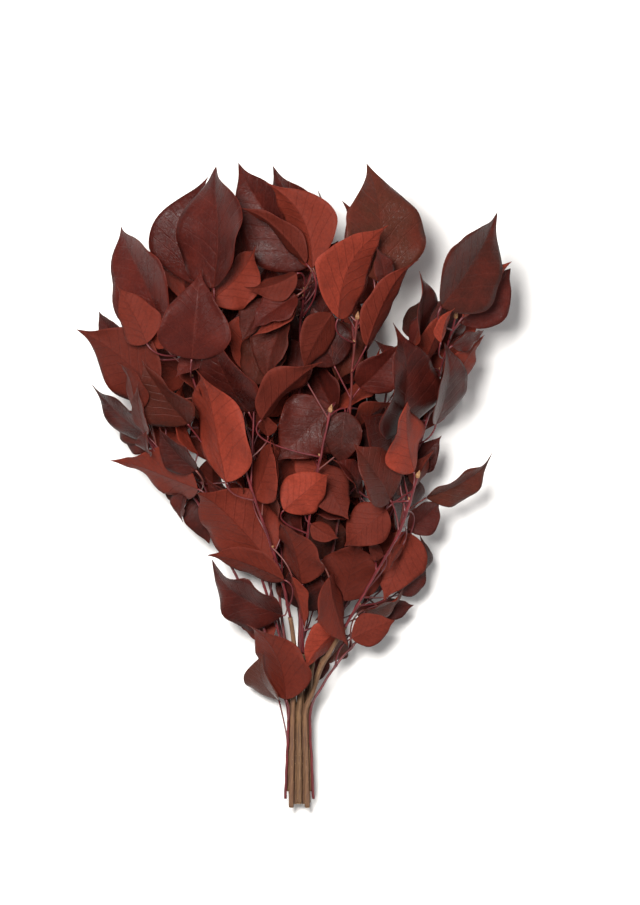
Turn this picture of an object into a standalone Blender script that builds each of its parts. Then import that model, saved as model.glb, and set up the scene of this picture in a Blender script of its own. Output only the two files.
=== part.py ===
"""A bunch of preserved red ivy: fourteen cut leafy stems, gathered near their cut ends, lying on a table.

+Y runs from the cut ends to the leaf tips, +Z is up from the table, and the side that the photograph
shows is the upper one. Each woody stem is one solid and the red growth above it, with its leaves, is
another. Lengths are in metres unless a name or a comment says pixels or millimetres.
"""

import collections
import math
import random

import bmesh
import bpy
import numpy as np
from mathutils.bvhtree import BVHTree

MM = 0.001
PIXEL = 0.85 * MM  # real size of one pixel of the photograph, at the bunch
PHOTO_MIDDLE = (294.3, 488.26)  # the pixel that lies over X = 0, Y = 0
GRIP_COLUMN = 299
SEED = 7

# The bunch as a whole, by rows of the photograph, in pixels, and heights in millimetres.
CUT_ENDS_ROW = 812
GRIP_ROW = 715
ROWS = (163, 200, 260, 350, 450, 550, 620, 680, 720)
HALF_DEPTH_MM = (30, 52, 70, 80, 74, 54, 36, 20, 10)
LEFT_EDGE = (200, 150, 110, 84, 130, 196, 228, 255, 285)
RIGHT_EDGE = (385, 400, 505, 490, 440, 425, 405, 335, 310)
CORE_AT_CUT_ENDS_MM = 13.5
CORE_RISE_MM = 0.16  # for each pixel row from the cut ends

# Outline of the bunch in the photograph, in pixels, clockwise from the top left leaf tip.
OUTLINE = (
    (235, 166), (262, 186), (270, 171), (307, 187), (329, 205), (332, 240), (338, 256), (345, 250),
    (345, 215), (352, 212), (366, 190), (372, 163), (388, 190), (404, 235), (402, 262), (386, 300),
    (374, 330), (400, 344), (396, 325), (419, 274), (426, 280), (450, 250), (497, 212), (500, 248),
    (512, 261), (510, 295), (482, 328), (483, 334), (460, 380), (457, 405), (450, 413), (440, 440),
    (423, 463), (428, 470), (423, 488), (430, 488), (497, 458), (465, 487), (440, 508), (418, 530),
    (416, 540), (424, 538), (430, 549), (421, 566), (431, 568), (406, 595), (415, 606), (392, 617),
    (394, 621), (383, 632), (362, 649), (348, 645), (330, 665), (305, 725), (283, 706), (262, 700),
    (250, 680), (260, 655), (242, 641), (229, 613), (232, 603), (212, 584), (210, 565), (196, 552),
    (212, 550), (200, 530), (190, 505), (181, 523), (164, 500), (160, 488), (143, 478), (112, 456),
    (142, 450), (133, 441), (116, 432), (101, 410), (92, 383), (98, 378), (90, 350), (82, 328),
    (97, 333), (98, 312), (109, 320), (117, 300), (118, 287), (127, 290), (127, 270), (132, 258),
    (117, 228), (148, 245), (170, 252), (168, 235), (170, 222), (188, 205), (208, 167), (240, 202),
    (240, 178),
)

# Leaf proportions, from the leaves that lie flat to the camera.
LENGTH_TO_WIDTH = 1.38
BLADE_THICK = 0.8 * MM
BLADE_STATIONS = (0.08, 0.3, 0.58, 0.84)
HIDDEN_STATIONS = (0.12, 0.42, 0.78)
PETIOLE_RADIUS = 0.7 * MM
PETIOLE_REACH = (14 * MM, 62 * MM)
CLEARANCE = 0.95 * MM
FOOT_RECESS = 11 * MM  # how much deeper the foot of a blade lies than its tip

# Stems, packed like pencils at the grip, where the bunch is narrowest.
WOOD_RADIUS = 2.4 * MM
SHOOT_RADIUS = 1.3 * MM
PACKING = 2 * WOOD_RADIUS + 0.75 * MM
ROW_STEP = PACKING * math.sqrt(0.75)
SPLAY_AT_CUT = 1.25
COLOUR_GAP = 0.3 * MM
PATH_STEP = 27 * MM

UPPER, UNDER = 1, -1

Stem = collections.namedtuple("Stem", "slot wood_to route fill")
Leaf = collections.namedtuple("Leaf", "base tip width face depth bow", defaults=(0,))

# Each stem: its place in the grip (columns and rows of the packing), the pixel row where wood turns to red
# shoot (None for a thin red shoot with no wood), its route up the bunch as (pixel x, pixel y, millimetres
# above the core), and how many leaves are added by rule to its hidden side.
STEMS = {
    "far_left": Stem(
        (-1.5, 0),
        650,
        (
            (268, 650, 2), (232, 570, -2), (192, 495, 2), (165, 462, 8), (147, 438, 14),
        ),
        5,
    ),
    "upper_left": Stem(
        (-0.5, 0),
        655,
        (
            (283, 650, 3), (255, 560, 11), (222, 465, 18), (197, 390, 22), (180, 335, 24),
        ),
        7,
    ),
    "top_left": Stem(
        (-1, -1),
        655,
        (
            (284, 640, -8), (268, 520, -16), (245, 420, -14), (222, 340, -6), (207, 292, 2),
        ),
        8,
    ),
    "top_centre": Stem(
        (0.5, 0),
        655,
        (
            (300, 640, 3), (300, 500, 5), (299, 390, 14), (302, 310, 28), (312, 273, 36),
        ),
        7,
    ),
    "centre": Stem(
        (1.5, 0),
        650,
        (
            (314, 650, 0), (335, 540, 10), (348, 440, 26), (352, 370, 38), (357, 320, 46),
        ),
        7,
    ),
    "far_right": Stem(
        (1.08, -1),
        650,
        (
            (330, 640, -8), (380, 540, -12), (418, 450, -8), (438, 380, 2), (455, 318, 14),
        ),
        7,
    ),
    "front_left": Stem(
        (-1, 1),
        618,
        (
            (294, 655, 11), (290, 618, 16), (282, 580, 22), (264, 525, 36), (246, 470, 46),
            (238, 425, 48),
        ),
        4,
    ),
    "front_centre": Stem(
        (0, 1),
        655,
        (
            (303, 655, 12), (302, 610, 20), (305, 560, 30), (312, 500, 44), (322, 450, 52),
            (330, 412, 54),
        ),
        4,
    ),
    "front_right": Stem(
        (1, 1),
        628,
        (
            (312, 697, 7), (322, 668, 10), (343, 632, 15), (375, 575, 28), (400, 530, 40),
            (417, 477, 48),
        ),
        0,
    ),
    "back": Stem(
        (0, -1),
        655,
        (
            (299, 640, -12), (300, 540, -28), (298, 440, -36), (296, 360, -36), (294, 290, -26),
        ),
        13,
    ),
    "back_left": Stem(
        (-0.58, -1.95),
        655,
        (
            (282, 640, -15), (256, 540, -32), (226, 440, -36), (200, 360, -28),
        ),
        13,
    ),
    "back_right": Stem(
        (0.58, -1.95),
        655,
        (
            (318, 640, -15), (350, 540, -32), (378, 440, -36), (392, 360, -28),
        ),
        12,
    ),
    "low_left": Stem(
        (-1.744, 0.83),
        None,
        (
            (280, 690, 7.5), (271, 655, 9), (262, 625, 9),
        ),
        1,
    ),
    "low_right": Stem(
        (1.744, 0.83),
        None,
        (
            (319, 694, 2), (338, 665, 0), (362, 638, -2), (382, 612, -3),
        ),
        1,
    ),
}

# The leaves that the photograph shows: base and tip in pixels, width across as it shows, the face that
# shows, millimetres below the outermost layer, and how far the midrib bows to the right, in pixels.
LEAVES = {
    "top_left": (
        Leaf((215, 290), (209, 167), 66, UPPER, 8, 14),
        Leaf((194, 285), (204, 178), 48, UPPER, 20, -6),
        Leaf((210, 303), (257, 249), 46, UNDER, 7),
        Leaf((212, 352), (172, 378), 34, UPPER, 16),
        Leaf((249, 412), (211, 333), 50, UPPER, 3),
        Leaf((284, 596), (262, 550), 38, UPPER, 16),
    ),
    "upper_left": (
        Leaf((166, 330), (117, 227), 62, UPPER, 12, 12),
        Leaf((193, 360), (202, 274), 74, UPPER, 2),
        Leaf((158, 392), (82, 327), 66, UNDER, 6),
        Leaf((188, 424), (141, 362), 56, UPPER, 4),
        Leaf((148, 344), (118, 286), 42, UNDER, 9),
        Leaf((122, 342), (97, 312), 20, UPPER, 16),
        Leaf((166, 348), (146, 322), 24, UNDER, 16),
        Leaf((266, 566), (236, 522), 40, UPPER, 12),
        Leaf((272, 640), (232, 606), 34, UNDER, 10),
    ),
    "far_left": (
        Leaf((135, 412), (124, 360), 20, UNDER, 0),
        Leaf((147, 434), (139, 384), 14, UPPER, 4),
        Leaf((198, 489), (112, 456), 38, UNDER, 4, -6),
        Leaf((147, 436), (91, 384), 24, UPPER, 10),
        Leaf((148, 440), (104, 400), 26, UPPER, 18),
        Leaf((150, 446), (118, 428), 26, UPPER, 24),
        Leaf((149, 453), (146, 432), 14, UPPER, 4),
        Leaf((196, 470), (157, 430), 28, UPPER, 10),
        Leaf((200, 482), (152, 440), 36, UPPER, 22),
        Leaf((184, 492), (181, 523), 16, UPPER, 26),
        Leaf((192, 498), (160, 488), 14, UPPER, 30),
        Leaf((200, 492), (208, 545), 30, UPPER, 16),
    ),
    "top_centre": (
        Leaf((310, 272), (262, 222), 52, UPPER, 26),
        Leaf((309, 268), (235, 166), 44, UPPER, 9),
        Leaf((306, 266), (243, 206), 20, UNDER, 4),
        Leaf((313, 270), (270, 184), 54, UNDER, 2, 10),
        Leaf((316, 272), (268, 170), 50, UPPER, 12, 14),
        Leaf((318, 268), (322, 192), 34, UPPER, 16),
        Leaf((322, 270), (338, 243), 24, UPPER, 22),
        Leaf((297, 276), (246, 293), 30, UNDER, 6),
        Leaf((268, 300), (243, 342), 30, UPPER, 24),
        Leaf((297, 298), (250, 330), 34, UPPER, 4),
        Leaf((297, 299), (253, 337), 16, UNDER, 0),
        Leaf((286, 318), (265, 386), 36, UPPER, 14),
        Leaf((308, 612), (304, 548), 36, UPPER, 8),
        Leaf((296, 600), (286, 556), 36, UPPER, 14),
    ),
    "centre": (
        Leaf((332, 315), (293, 388), 44, UNDER, 8),
        Leaf((343, 322), (337, 384), 36, UPPER, 20),
        Leaf((372, 424), (388, 464), 36, UPPER, 12),
        Leaf((383, 284), (371, 163), 52, UPPER, 4),
        Leaf((372, 276), (345, 202), 36, UPPER, 16),
        Leaf((338, 320), (389, 228), 52, UNDER, 0, -14),
        Leaf((366, 347), (410, 257), 26, UNDER, 12),
        Leaf((360, 388), (401, 343), 44, UPPER, 30),
        Leaf((384, 286), (374, 240), 26, UPPER, 14),
        Leaf((332, 618), (324, 566), 40, UPPER, 14),
        Leaf((366, 600), (378, 545), 40, UPPER, 16),
    ),
    "far_right": (
        Leaf((436, 424), (451, 346), 44, UPPER, 18),
        Leaf((452, 388), (483, 334), 24, UNDER, 24),
        Leaf((440, 308), (497, 212), 62, UPPER, 6),
        Leaf((412, 346), (419, 273), 42, UPPER, 10),
        Leaf((432, 352), (446, 292), 30, UPPER, 16),
        Leaf((462, 318), (512, 262), 22, UNDER, 2),
        Leaf((460, 323), (511, 268), 52, UPPER, 12),
        Leaf((452, 346), (484, 331), 16, UPPER, 16),
        Leaf((424, 365), (451, 308), 22, UNDER, 8),
        Leaf((440, 343), (451, 308), 12, UNDER, 6),
        Leaf((404, 522), (384, 470), 42, UPPER, 22),
    ),
    "front_left": (
        Leaf((226, 482), (206, 366), 52, UNDER, 0, -14),
        Leaf((247, 493), (231, 407), 44, UPPER, 8),
        Leaf((268, 436), (257, 410), 18, UNDER, 12),
        Leaf((254, 497), (270, 440), 30, UNDER, 2),
        Leaf((265, 484), (272, 440), 20, UNDER, 6),
        Leaf((283, 520), (276, 474), 26, UPPER, 8),
        Leaf((270, 564), (198, 489), 76, UNDER, 0),
        Leaf((284, 580), (200, 550), 26, UNDER, 6),
        Leaf((282, 616), (207, 566), 44, UPPER, 4),
        Leaf((292, 577), (305, 630), 14, UNDER, 4),
        Leaf((246, 501), (204, 480), 18, UPPER, 14),
        Leaf((258, 560), (226, 530), 40, UPPER, 22),
    ),
    "front_centre": (
        Leaf((262, 420), (324, 363), 44, UNDER, 6),
        Leaf((331, 406), (276, 462), 70, UPPER, 2),
        Leaf((284, 510), (330, 472), 44, UNDER, 6),
        Leaf((318, 467), (348, 520), 38, UNDER, 8),
        Leaf((306, 512), (357, 524), 18, UPPER, 6),
        Leaf((288, 512), (303, 548), 24, UPPER, 12),
        Leaf((311, 524), (338, 539), 20, UNDER, 10),
        Leaf((345, 412), (340, 466), 40, UPPER, 22),
        Leaf((302, 584), (284, 518), 38, UNDER, 0),
        Leaf((329, 577), (349, 647), 36, UNDER, -4),
        Leaf((343, 602), (358, 540), 64, UNDER, 2),
        Leaf((322, 560), (322, 506), 42, UPPER, 22),
        Leaf((352, 560), (350, 500), 44, UPPER, 24),
    ),
    "front_right": (
        Leaf((396, 434), (401, 328), 74, UPPER, 2),
        Leaf((414, 472), (405, 402), 36, UNDER, -2),
        Leaf((390, 500), (353, 444), 46, UPPER, 2),
        Leaf((358, 490), (335, 459), 20, UPPER, 10),
        Leaf((386, 509), (343, 547), 44, UNDER, 0),
        Leaf((427, 498), (497, 457), 26, UPPER, 10),
        Leaf((408, 530), (441, 502), 32, UPPER, 16),
        Leaf((414, 468), (442, 436), 30, UPPER, 28),
        Leaf((415, 486), (434, 450), 18, UNDER, 20),
        Leaf((404, 494), (398, 464), 14, UNDER, 12),
        Leaf((411, 534), (384, 602), 46, UNDER, 10),
        Leaf((417, 578), (424, 537), 16, UPPER, 16),
        Leaf((398, 594), (431, 568), 18, UPPER, 14),
        Leaf((384, 556), (368, 545), 16, UNDER, 14),
        Leaf((403, 545), (388, 572), 9, UNDER, 2),
        Leaf((384, 600), (378, 558), 16, UPPER, 12),
        Leaf((398, 463), (362, 415), 36, UPPER, 10),
        Leaf((392, 575), (412, 526), 40, UPPER, 20),
    ),
    "low_left": (
        Leaf((286, 702), (250, 621), 40, UNDER, -6, 8),
        Leaf((266, 630), (246, 604), 18, UNDER, 5),
        Leaf((278, 703), (262, 654), 36, UPPER, 3, -6),
    ),
    "low_right": (
        Leaf((343, 628), (303, 668), 30, UNDER, 4),
        Leaf((338, 600), (316, 622), 26, UPPER, 12),
        Leaf((318, 654), (311, 690), 20, UPPER, 16),
        Leaf((347, 640), (322, 668), 16, UPPER, 14),
        Leaf((352, 640), (395, 621), 34, UNDER, 8),
        Leaf((378, 608), (415, 607), 22, UPPER, 16),
        Leaf((364, 611), (407, 591), 22, UPPER, 12),
        Leaf((362, 622), (385, 600), 24, UPPER, 18),
    ),
}

# Leaves that lie flat on the table and carry the bunch: shoot, base and tip in pixels, width in pixels.
RESTING = (
    ("back_left", (224, 462), (198, 396), 56),
    ("back_right", (376, 462), (402, 398), 56),
    ("back", (300, 430), (306, 360), 52),
    ("back", (296, 560), (290, 494), 50),
)


def rows(values, row):
    """The value of a list that goes with ROWS, at any pixel row."""
    return float(np.interp(row, ROWS, values))


def core(row):
    """Height of the middle of the bunch over the table."""
    return (CORE_AT_CUT_ENDS_MM + CORE_RISE_MM * (CUT_ENDS_ROW - row)) * MM


def swell(column, row):
    """How far the outermost leaves stand off the core at a pixel."""
    left = rows(LEFT_EDGE, row)
    right = rows(RIGHT_EDGE, row)
    across = (2 * column - left - right) / (right - left)
    return rows(HALF_DEPTH_MM, row) * MM * math.sqrt(max(0.0, 1 - across * across))


def spot(column, row, height):
    """The point at a pixel and a height over the table."""
    x = (column - PHOTO_MIDDLE[0]) * PIXEL
    y = (PHOTO_MIDDLE[1] - row) * PIXEL
    return np.array((x, y, height))


def unit(vector):
    return vector / np.linalg.norm(vector)


def smooth_path(points, step):
    """Points every `step` or so along a Catmull-Rom curve through the given ones."""
    points = np.array(points)
    ends = np.vstack((2 * points[0] - points[1], points, 2 * points[-1] - points[-2]))
    path = []
    for a, b, c, d in zip(ends, ends[1:], ends[2:], ends[3:]):
        count = max(2, round(np.linalg.norm(c - b) / step))
        u = np.arange(count)[:, None] / count
        path.append(
            b
            + u * (c - a) / 2
            + u * u * (2 * a - 5 * b + 4 * c - d) / 2
            + u * u * u * (3 * b - a - 3 * c + d) / 2
        )
    return np.vstack((*path, points[-1:]))


def even_points(path, step):
    """Points about `step` apart on the straight pieces of a path."""
    points = []
    for a, b in zip(path, path[1:]):
        count = max(1, round(np.linalg.norm(b - a) / step))
        points.append(a + (b - a) * np.arange(count)[:, None] / count)
    return np.vstack(points)


def stem_path(name):
    """The whole way of a stem, from its cut end to its bud."""
    stem = STEMS[name]
    across, up = stem.slot
    end_row = CUT_ENDS_ROW - (13 * abs(across) + 7 * (up + 2)) % 17
    knots = []
    for row, spread in ((end_row, SPLAY_AT_CUT), (762, 1.1), (GRIP_ROW, 1)):
        middle = spot(GRIP_COLUMN, row, core(row))
        knots.append(middle + spread * np.array((across * PACKING, 0, up * ROW_STEP)))
    for column, row, lift in stem.route:
        knots.append(spot(column, row, core(row) + lift * MM))
    return smooth_path(knots, PATH_STEP)


def with_bud(shoot):
    """A shoot's path with the three points of its end bud added."""
    way = unit(shoot[-1] - shoot[-2])
    return np.vstack((shoot, *(shoot[-1:] + way * step * MM for step in (2.5, 5.5, 8))))


def split_stem(name):
    """The woody and the leafy length of a stem's path; the woody one is None for a thin shoot."""
    path = stem_path(name)
    wood_to = STEMS[name].wood_to
    if wood_to is None:
        return None, with_bud(path)
    turn = spot(0, wood_to, 0)[1]
    index = int(np.argmax(path[:, 1] > turn))
    share = (turn - path[index - 1, 1]) / (path[index, 1] - path[index - 1, 1])
    joint = path[index - 1] + share * (path[index] - path[index - 1])
    along = unit(path[index] - path[index - 1])
    wood = np.vstack((path[: index - 1], joint - along * COLOUR_GAP))
    shoot = np.vstack((joint, path[index + 1 :]))
    return wood, with_bud(shoot)


def profile(s, a, b):
    """Half width of a blade along its midrib, 1 at the widest: rounder at the foot for a small a, and drawn
    out at the tip for a large b."""
    widest = (a / (a + b)) ** a * (b / (a + b)) ** b
    return s**a * (1 - s) ** b / widest


class Blade:
    """One leaf: where its blade and its petiole run, as functions of s along the midrib and t across."""

    def __init__(self, base, tip, width, up, draw, bow=0.0, size=1.0):
        self.base = base
        self.length = np.linalg.norm(tip - base) * size
        self.along = unit(tip - base)
        self.across = unit(np.cross(self.along, up))
        self.up = np.cross(self.across, self.along)
        self.width = width * size
        self.bow = bow
        self.arch = draw.uniform(0.03, 0.12) * self.length
        self.fold = draw.uniform(0.1, 0.35)
        self.hook = draw.uniform(-0.02, 0.12) * self.length
        self.wave = draw.uniform(0.02, 0.055) * self.width
        self.waves = draw.uniform(1.6, 2.6)
        self.phase = draw.uniform(0, math.tau)
        self.form = (draw.uniform(0.58, 0.8), draw.uniform(1.05, 1.4))
        self.hidden = False
        self.root = None
        self.sag = None

    def half(self, s):
        """Half width of the blade at s."""
        return profile(s, *self.form) * self.width / 2

    def stations(self):
        """Where along the midrib the solid has its rings."""
        return HIDDEN_STATIONS if self.hidden else BLADE_STATIONS

    def surface(self, s, t):
        """Mid surface of the blade: an arched midrib, two folded halves, a waved margin and a hooked tip."""
        s = np.asarray(s, float)[..., None]
        t = np.asarray(t, float)[..., None]
        half = self.half(s)
        side = np.where(t < 0, math.pi, 0.0)
        ripple = self.wave * t * t * np.sin(math.tau * self.waves * s + self.phase + side)
        ripple = ripple * np.minimum(1, 6 * s * (1 - s))
        rise = self.arch * 4 * s * (1 - s) - self.hook * np.maximum(0, (s - 0.6) / 0.4) ** 2
        lift = rise + np.abs(t) * half * math.sin(self.fold) + ripple
        sideways = t * half * math.cos(self.fold) + self.bow * np.sin(math.pi * s)
        points = self.base + self.along * self.length * s + self.across * sideways + self.up * lift
        points[..., 2] = np.maximum(points[..., 2], BLADE_THICK / 2)
        return points

    def petiole(self, u):
        """Way of the petiole from its root in the shoot, u = 0, to the blade, u = 1."""
        u = np.asarray(u, float)[..., None]
        bend = self.base + self.sag
        points = (1 - u) ** 2 * self.root + 2 * u * (1 - u) * bend + u * u * self.base
        points[..., 2] = np.maximum(points[..., 2], PETIOLE_RADIUS)
        return points

    def rings(self):
        """Rings of four points, left, top, right and bottom, from the petiole's root to near the tip."""
        stops = self.petiole(np.array((0.0, 1.0) if self.hidden else (0.0, 0.5, 1.0)))
        tangents = (stops[1] - stops[0], stops[-1] - stops[0], self.along)
        tangents = (tangents[0], self.along) if self.hidden else tangents
        top = self.up
        stalk = []
        for stop, tangent in zip(stops[::-1], tangents[::-1]):
            tangent = unit(tangent)
            top = unit(top - tangent * np.dot(top, tangent))
            right = np.cross(tangent, top)
            stalk.append(stop + PETIOLE_RADIUS * np.array((-right, top, right, -top)))
        blade = []
        for s in self.stations():
            rib = self.surface(s, 0.0)
            rise = self.up * BLADE_THICK / 2
            blade.append(np.array((self.surface(s, -1.0), rib + rise, self.surface(s, 1.0), rib - rise)))
        rings = np.array(stalk[::-1] + blade)
        rings[..., 2][rings[..., 2] < 0.5 * MM] = 0
        return rings

    def mesh(self):
        """The leaf as one closed solid: a thin petiole that opens into a blade, thickest along its midrib."""
        rings = self.rings()
        count = len(rings)
        points = np.vstack((rings.reshape(-1, 3), self.surface(1.0, 0.0)[None]))
        faces = [(0, 3, 2), (0, 2, 1)]
        for i in range(count - 1):
            for k in range(4):
                a = 4 * i + k
                b = 4 * i + (k + 1) % 4
                if k % 2 == 0:
                    faces += [(a, b, b + 4), (a, b + 4, a + 4)]
                else:
                    faces += [(a, b, a + 4), (b, b + 4, a + 4)]
        last = 4 * (count - 1)
        for k in range(4):
            faces.append((last + k, last + (k + 1) % 4, len(points) - 1))
        return points, faces

    def blade_hull(self):
        """A loose skin round the blade, for keeping it clear of its neighbours."""
        s = np.array((0.0, *self.stations(), 1.0))
        half = self.half(s)
        over = 1 + CLEARANCE / np.maximum(half, CLEARANCE)
        thick = self.up * CLEARANCE
        rib = self.surface(s, 0 * s)
        ribs = (self.surface(s, -over), rib, self.surface(s, over))
        ring = [line + thick for line in ribs] + [line - thick for line in ribs[::-1]]
        return loft(np.stack(ring, axis=1))

    def petiole_hull(self, clear_of_shoot):
        """A loose skin round the petiole, whole or from just off the shoot."""
        reach = np.linalg.norm(self.base - self.root)
        line = self.petiole(np.array((0.0, 0.5, 1.0)))
        line[0] += (line[1] - line[0]) * clear_of_shoot * min(0.8, 6 * MM / reach)
        radius = PETIOLE_RADIUS + 0.6 * MM
        side = unit(np.cross(self.base - self.root, self.up + 0.01))
        other = unit(np.cross(self.base - self.root, side))
        ring = [line + radius * way for way in (side, other, -side, -other)]
        return loft(np.stack(ring, axis=1))


def loft(rings):
    """Open band through rings of points, as a tree for finding crossings."""
    count, sides, _ = rings.shape
    i = np.arange(count - 1)[:, None] * sides
    k = np.arange(sides)
    after = (k + 1) % sides
    quads = np.stack((i + k, i + after, i + sides + after, i + sides + k), axis=-1)
    return Skin(rings.reshape(-1, 3), quads.reshape(-1, 4).tolist())


class Skin:
    """A surface with its box, to ask quickly whether another one crosses it."""

    def __init__(self, points, faces):
        self.points = points
        self.faces = faces
        self.low = points.min(axis=0)
        self.high = points.max(axis=0)
        self.made = None

    def tree(self):
        """The tree of the faces, made when it is first asked for."""
        if self.made is None:
            self.made = BVHTree.FromPolygons(self.points.tolist(), self.faces)
        return self.made

    def crosses(self, other):
        """Whether the two surfaces cross."""
        if np.any(self.low > other.high) or np.any(other.low > self.high):
            return False
        return bool(self.tree().overlap(other.tree()))


def tube_skin(path, radius):
    """A six-sided skin that holds a whole stem."""
    ways = np.gradient(path, axis=0)
    ways /= np.linalg.norm(ways, axis=1)[:, None]
    side = np.cross(ways, (0, 0, 1))
    side /= np.linalg.norm(side, axis=1)[:, None]
    other = np.cross(side, ways)
    turns = [k * math.pi / 3 for k in range(6)]
    ring = [path + 1.2 * radius * (side * math.cos(turn) + other * math.sin(turn)) for turn in turns]
    return loft(np.stack(ring, axis=1))


BENDS = ((0.45, 0), (0.25, 0), (0.6, 0), (0.45, -5), (0.45, 5), (0.3, -9))


class Bunch:
    """The leaves that have found a place, and what is in the way of the next one."""

    def __init__(self):
        self.draw = random.Random(SEED)
        self.shoots = {}
        self.woods = {}
        self.leaves = {name: [] for name in STEMS}
        self.skins = []
        self.lows = np.zeros((2000, 3))
        self.highs = np.zeros((2000, 3))
        for name in STEMS:
            wood, shoot = split_stem(name)
            self.woods[name] = wood
            self.shoots[name] = shoot
            self.keep(name, "stem", tube_skin(shoot, SHOOT_RADIUS))
            if wood is not None:
                self.keep(name, "stem", tube_skin(wood, WOOD_RADIUS))
        self.missing = []
        self.notes = []

    def keep(self, name, kind, skin):
        """Notes a surface that later leaves have to clear."""
        self.lows[len(self.skins)] = skin.low
        self.highs[len(self.skins)] = skin.high
        self.skins.append((name, kind, skin))

    def near(self, hull):
        """The noted surfaces whose boxes meet that of a hull."""
        count = len(self.skins)
        meet = np.all((self.lows[:count] <= hull.high) & (self.highs[:count] >= hull.low), axis=1)
        return [self.skins[i] for i in np.flatnonzero(meet)]

    def blade_is_clear(self, blade):
        """Whether a blade crosses nothing that has a place."""
        hull = blade.blade_hull()
        return not any(hull.crosses(skin) for _, _, skin in self.near(hull))

    def petiole_is_clear(self, blade, shoot):
        """Whether a petiole crosses nothing but the shoot that it grows from."""
        whole = blade.petiole_hull(False)
        free = blade.petiole_hull(True)
        for name, kind, skin in self.near(whole):
            if name != shoot and whole.crosses(skin):
                return False
            if name == shoot and kind != "stem" and free.crosses(skin):
                return False
        return True

    def roots(self, shoot, blade):
        """Places on a shoot for a petiole to start, the likeliest first."""
        path = even_points(self.shoots[shoot][:-2], 3 * MM)[2:]
        used = [leaf.root for leaf in self.leaves[shoot]]
        free = [all(np.linalg.norm(point - root) > 2.6 * MM for root in used) for point in path]
        path = path[free]
        span = blade.base - path
        reach = np.linalg.norm(span, axis=1)
        short, long = PETIOLE_REACH
        wanted = np.clip(reach, short, long)
        ahead = span @ blade.along / reach
        score = 3 * np.abs(reach - wanted) + 0.4 * np.abs(reach - 30 * MM) + (1 - ahead) * 15 * MM
        score = score[ahead > -0.2]
        return path[ahead > -0.2][np.argsort(score)[:24:3]]

    def settle(self, shoot, blade):
        """Roots a blade that is clear of everything on its shoot, if a petiole finds a way."""
        for root in self.roots(shoot, blade):
            reach = np.linalg.norm(blade.base - root)
            for share, drop in BENDS[:1] if blade.hidden else BENDS:
                blade.root = root
                blade.sag = -blade.along * reach * share + np.array((0, 0, drop * MM))
                if blade.hidden:
                    blade.sag = (root - blade.base) / 2
                points, faces = blade.mesh()
                foot = 10 if blade.hidden else 18
                if blade.petiole_hull(True).crosses(Skin(points, faces[foot + 8:])):
                    continue
                if self.petiole_is_clear(blade, shoot):
                    self.leaves[shoot].append(blade)
                    self.keep(shoot, "stalk", Skin(points, faces[:foot]))
                    self.keep(shoot, "blade", Skin(points, faces[foot:]))
                    return True
        return False


def seen_blade(leaf, sink, tuck, roll_by, size, draw):
    """A leaf of the photograph, put in space: it follows the rounded outside of the bunch."""
    ends = []
    for (column, row), recess in ((leaf.base, FOOT_RECESS + tuck), (leaf.tip, 0)):
        height = core(row) + swell(column, row) - leaf.depth * MM - recess - sink
        ends.append(spot(column, row, max(height, 1.5 * MM)))
    base, tip = ends
    along = unit(tip - base)
    length = np.linalg.norm(tip - base)
    shown = leaf.width * PIXEL
    width = max(shown, min(length / LENGTH_TO_WIDTH, 1.7 * shown))
    level = unit(np.cross(along, (0, 0, 1)))
    facing = np.cross(level, along)
    middle = (rows(LEFT_EDGE, leaf.tip[1]) + rows(RIGHT_EDGE, leaf.tip[1])) / 2
    outward = math.copysign(1, leaf.tip[0] - middle)
    lean = math.acos(shown / width) * math.copysign(1, -level[0] * outward) + roll_by
    up = facing * math.cos(lean) - level * math.sin(lean)
    return Blade(base, tip, width, up * leaf.face, draw, leaf.bow * PIXEL * leaf.face, size)


SINKS_MM = (0, 1.5, 3, 5, 7, 9, 12, 15, 19, 24, 30, 38)
TUCKS_MM = (0, -6, 7, 14)
ROLLS = (0, 0.14, -0.14, 0.3, -0.3, 0.5, -0.5)
SIZES = (1, 0.9, 0.78)


def poses():
    """Ways to shift a leaf from where the photograph has it, the slightest first: size, sink, tuck and roll."""
    ways = [(size, sink, tuck, roll) for size in SIZES for sink in SINKS_MM for tuck in TUCKS_MM for roll in ROLLS]
    return sorted(ways, key=lambda way: (1 - way[0]) * 90 + way[1] + abs(way[2]) * 0.25 + abs(way[3]) * 9)


def add_seen_leaves(bunch):
    """The leaves of the photograph, the outermost first, so that each later one slips in beneath."""
    queue = []
    for name in STEMS:
        for i, leaf in enumerate(LEAVES.get(name, ())):
            queue.append((leaf.depth - 0.05 * leaf.width, name, i, leaf))
    queue.sort(key=lambda entry: entry[:3])
    ways = poses()
    for _, name, i, leaf in queue:
        state = bunch.draw.getstate()
        for size, sink, tuck, roll in ways:
            bunch.draw.setstate(state)
            blade = seen_blade(leaf, sink * MM, tuck * MM, roll, size, bunch.draw)
            if bunch.blade_is_clear(blade) and bunch.settle(name, blade):
                bunch.notes.append((name, i, size, sink, tuck, roll))
                break
        else:
            bunch.missing.append((name, i))


def add_resting_leaves(bunch):
    """The leaves pressed flat on the table, their upper faces down."""
    for name, base, tip, width in RESTING:
        for shift in (0, 8, -8, 16, -16, 24):
            low = BLADE_THICK / 2
            start = spot(base[0], base[1] + shift, 3 * MM)
            end = spot(tip[0], tip[1] + shift, low)
            blade = Blade(start, end, width * PIXEL, np.array((0, 0, -1.0)), bunch.draw)
            blade.arch = 3 * MM
            blade.hook = 0
            if bunch.blade_is_clear(blade) and bunch.settle(name, blade):
                break
        else:
            bunch.missing.append((name, "resting"))


def within(points, corners):
    """Which points of a plane lie within a polygon."""
    x, y = points[:, 0], points[:, 1]
    inside = np.zeros(len(points), bool)
    for (x0, y0), (x1, y1) in zip(np.roll(corners, 1, axis=0), corners):
        if y0 != y1:
            inside ^= ((y < y0) != (y < y1)) & (x < x0 + (y - y0) * (x1 - x0) / (y1 - y0))
    return inside


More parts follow.
